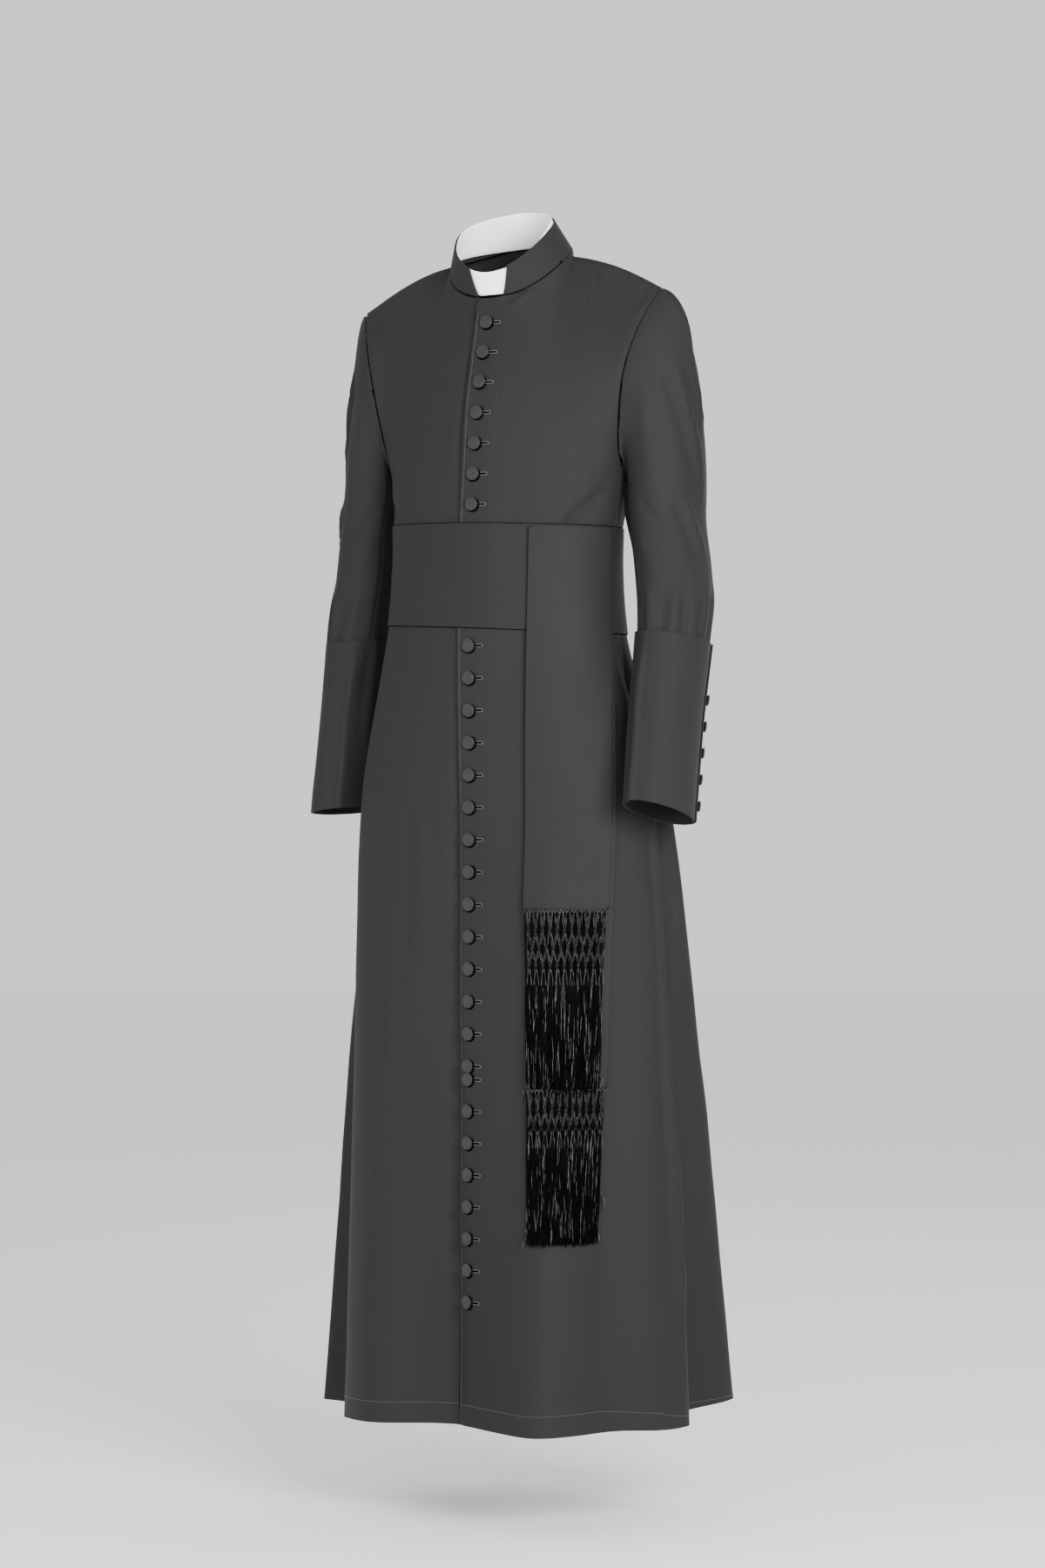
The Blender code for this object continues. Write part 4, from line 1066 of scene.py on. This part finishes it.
# The buttonholes run from under each button away from the edge: a slit, with thread along one side of it,
# round its end, and back along the other side.
HOLE_START, HOLE_END = 0.002, 0.0185
HOLE_HALF = 0.0017
HOLE_FOOT = HOLE_END - HOLE_HALF
ROUND_STEPS, SIDE_STEPS, SLIT_STEPS = 4, 10, 6
HOLE_RADIUS, HOLE_RISE, HOLE_UNEVEN = 0.00042, 0.0002, 0.15
SLIT_RADIUS, SLIT_SINK = HOLE_HALF * 0.68, 0.0004

hole_paths, slit_paths = [], []
for seat, _ in front_seats:
    turn = math.degrees(math.atan2(seat.x, -seat.y))
    degree = math.radians(1) * seat.xy.length
    path = []
    for step in range(-ROUND_STEPS - SIDE_STEPS, ROUND_STEPS + SIDE_STEPS + 1):
        if abs(step) <= ROUND_STEPS:
            angle = math.pi / 2 * step / ROUND_STEPS
            along, across = HOLE_FOOT + HOLE_HALF * math.cos(angle), HOLE_HALF * math.sin(angle)
        else:
            along = HOLE_FOOT - (HOLE_FOOT - HOLE_START) * (abs(step) - ROUND_STEPS) / SIDE_STEPS
            across = math.copysign(HOLE_HALF, step)
        point, away = on_body(front_tree, turn + along / degree, seat.z + across)
        if point:
            size = 1 + HOLE_UNEVEN if step % 2 else 1 - HOLE_UNEVEN
            path.append((point + away * HOLE_RISE, HOLE_RADIUS * size))
    hole_paths.append(path)
    # The slit is a sunken black cord: painted shadow.
    path = []
    for step in range(SLIT_STEPS + 1):
        along = HOLE_START + (HOLE_FOOT - HOLE_START) * step / SLIT_STEPS
        point, away = on_body(front_tree, turn + along / degree, seat.z)
        if point:
            path.append((point - away * SLIT_SINK, SLIT_RADIUS))
    slit_paths.append(path)
put_in_scene(cords_mesh("buttonholes", hole_paths, 1), STITCHES)
put_in_scene(cords_mesh("buttonhole_slits", slit_paths, 1), LINING_AND_SHADOW)

# A fine black cord beside the left front's edge paints the shadow of its step, and widens towards the neck.
edge_shadow_path = []
for point, away in edge_shadow_line:
    wider = max(0, min(1, (point.z - EDGE_SHADOW_WIDENS) / EDGE_SHADOW_WIDENED))
    edge_shadow_path.append((point - away * EDGE_SHADOW_SINK, EDGE_SHADOW_RADIUS + EDGE_SHADOW_WIDER * wider))
put_in_scene(cords_mesh("edge_facing", [edge_shadow_path], 1), LINING_AND_SHADOW)

# A fine black cord along both of the cincture's edges paints the shadow under them.
BAND_LINE, BAND_RISE = 0.0007, 0.0002
BAND_EDGES = ((-0.53, EDGE_STEP, -0.0006), (-0.26, -EDGE_STEP, 0.0006))
RING_STEP = 3

band_tree = tree_of(band.data)
band_shadow_lines = []
for start, step, out in BAND_EDGES:
    line = []
    for turn in range(-179, 182, RING_STEP):
        edge = first_hit(lambda z: on_near_side(on_body(band_tree, turn, z)[0], turn), start, step)
        point, away = on_body(skirt_tree, turn, edge + out)
        if point:
            line.append((point + away * BAND_RISE, BAND_LINE))
    band_shadow_lines.append(line)
put_in_scene(cords_mesh("cincture_facing", band_shadow_lines, 1), LINING_AND_SHADOW)

# Black tape in the neck's seam closes it under the collar's front half, up to where the collar is cut away.
NECK_TAPE, NECK_UP, NECK_SINK = 0.0013, 0.0008, 0.8
collar_tree = tree_of(collar.data)
neck_path = []
for turn in range(-180, 181, RING_STEP):
    base = first_hit(lambda z: on_body(collar_tree, turn, z)[0], NECK_EDGE, EDGE_STEP)
    point, away = on_body(collar_tree, turn, base + NECK_UP)
    if on_near_side(point, turn):
        neck_path.append((point - away * NECK_TAPE * NECK_SINK, NECK_TAPE))

# The same tape stays each armhole, in the middle of its seam.
ARMHOLE_REACH = 0.003
ARMHOLE_TAPE = 0.0011
ARMHOLE_STEP = 6
tapes = [neck_path]
for side, pair in SLEEVE_NODES.items():
    panels_tree = tree_of(body_meshes[f"front_{side}"], body_meshes[f"back_{side}"])
    points = np.vstack([points_of(sleeve_meshes[node]) for node in pair])
    seam = np.array([point for point in points if panels_tree.find_nearest(point, ARMHOLE_REACH)[0]])
    middle = seam.mean(axis=0)
    round_seam = np.degrees(np.arctan2(seam[:, 2] - middle[2], seam[:, 1] - middle[1]))
    path = []
    for start in range(-180, 180, ARMHOLE_STEP):
        part = seam[(round_seam >= start) & (round_seam < start + ARMHOLE_STEP)]
        if len(part):
            path.append((Vector(part.mean(axis=0)), ARMHOLE_TAPE))
    tapes.append(path + path[:1])
put_in_scene(cords_mesh("seam_tapes", tapes, 1), LINING_AND_SHADOW)


# ---- Floor and lights
# A plain pale floor under the hem, and soft light from large panels at both sides and in front.

FLOOR_HEIGHT, FLOOR_RADIUS = -1.58, 14
FLOOR = new_material("painted_floor", "#F2F2F2", 0.8)
ground = bmesh.new()
lowered = Matrix.Translation((0, 0, FLOOR_HEIGHT))
bmesh.ops.create_circle(ground, cap_ends=True, segments=96, radius=FLOOR_RADIUS, matrix=lowered)
floor_mesh = mesh_from(ground, "floor")
floor_mesh.materials.append(FLOOR)
floor = new_object("floor", floor_mesh)

LIGHTS = (
    # name, place, aims at, width, height, watts
    ("panel_right", (2.25, -2.05, 0.1), (0, 0, -0.26), 1.4, 1.1, 205),
    ("panel_left", (-2.6, -2.9, -0.6), (0, 0, -0.5), 1.4, 1.4, 70),
    ("panel_front", (0.9, -4.6, 0.2), (0, 0, -0.2), 2.4, 1, 60),
    ("panel_back", (0.4, 3.6, 0.6), (0, 0, -0.6), 3, 1.6, 18),
)
for name, place, aim, width, height, watts in LIGHTS:
    light = bpy.data.lights.new(name, "AREA")
    light.shape = "RECTANGLE"
    light.size, light.size_y = width, height
    light.energy = watts
    lamp = new_object(name, light)
    lamp.location = place
    lamp.rotation_mode = "QUATERNION"
    lamp.rotation_quaternion = (Vector(place) - Vector(aim)).to_track_quat("Z", "Y")

world = bpy.data.worlds.new("studio")
world.use_nodes = True
backdrop = world.node_tree.nodes["Background"].inputs
backdrop["Color"].default_value = (1, 1, 1, 1)
backdrop["Strength"].default_value = 1.1
bpy.context.scene.world = world
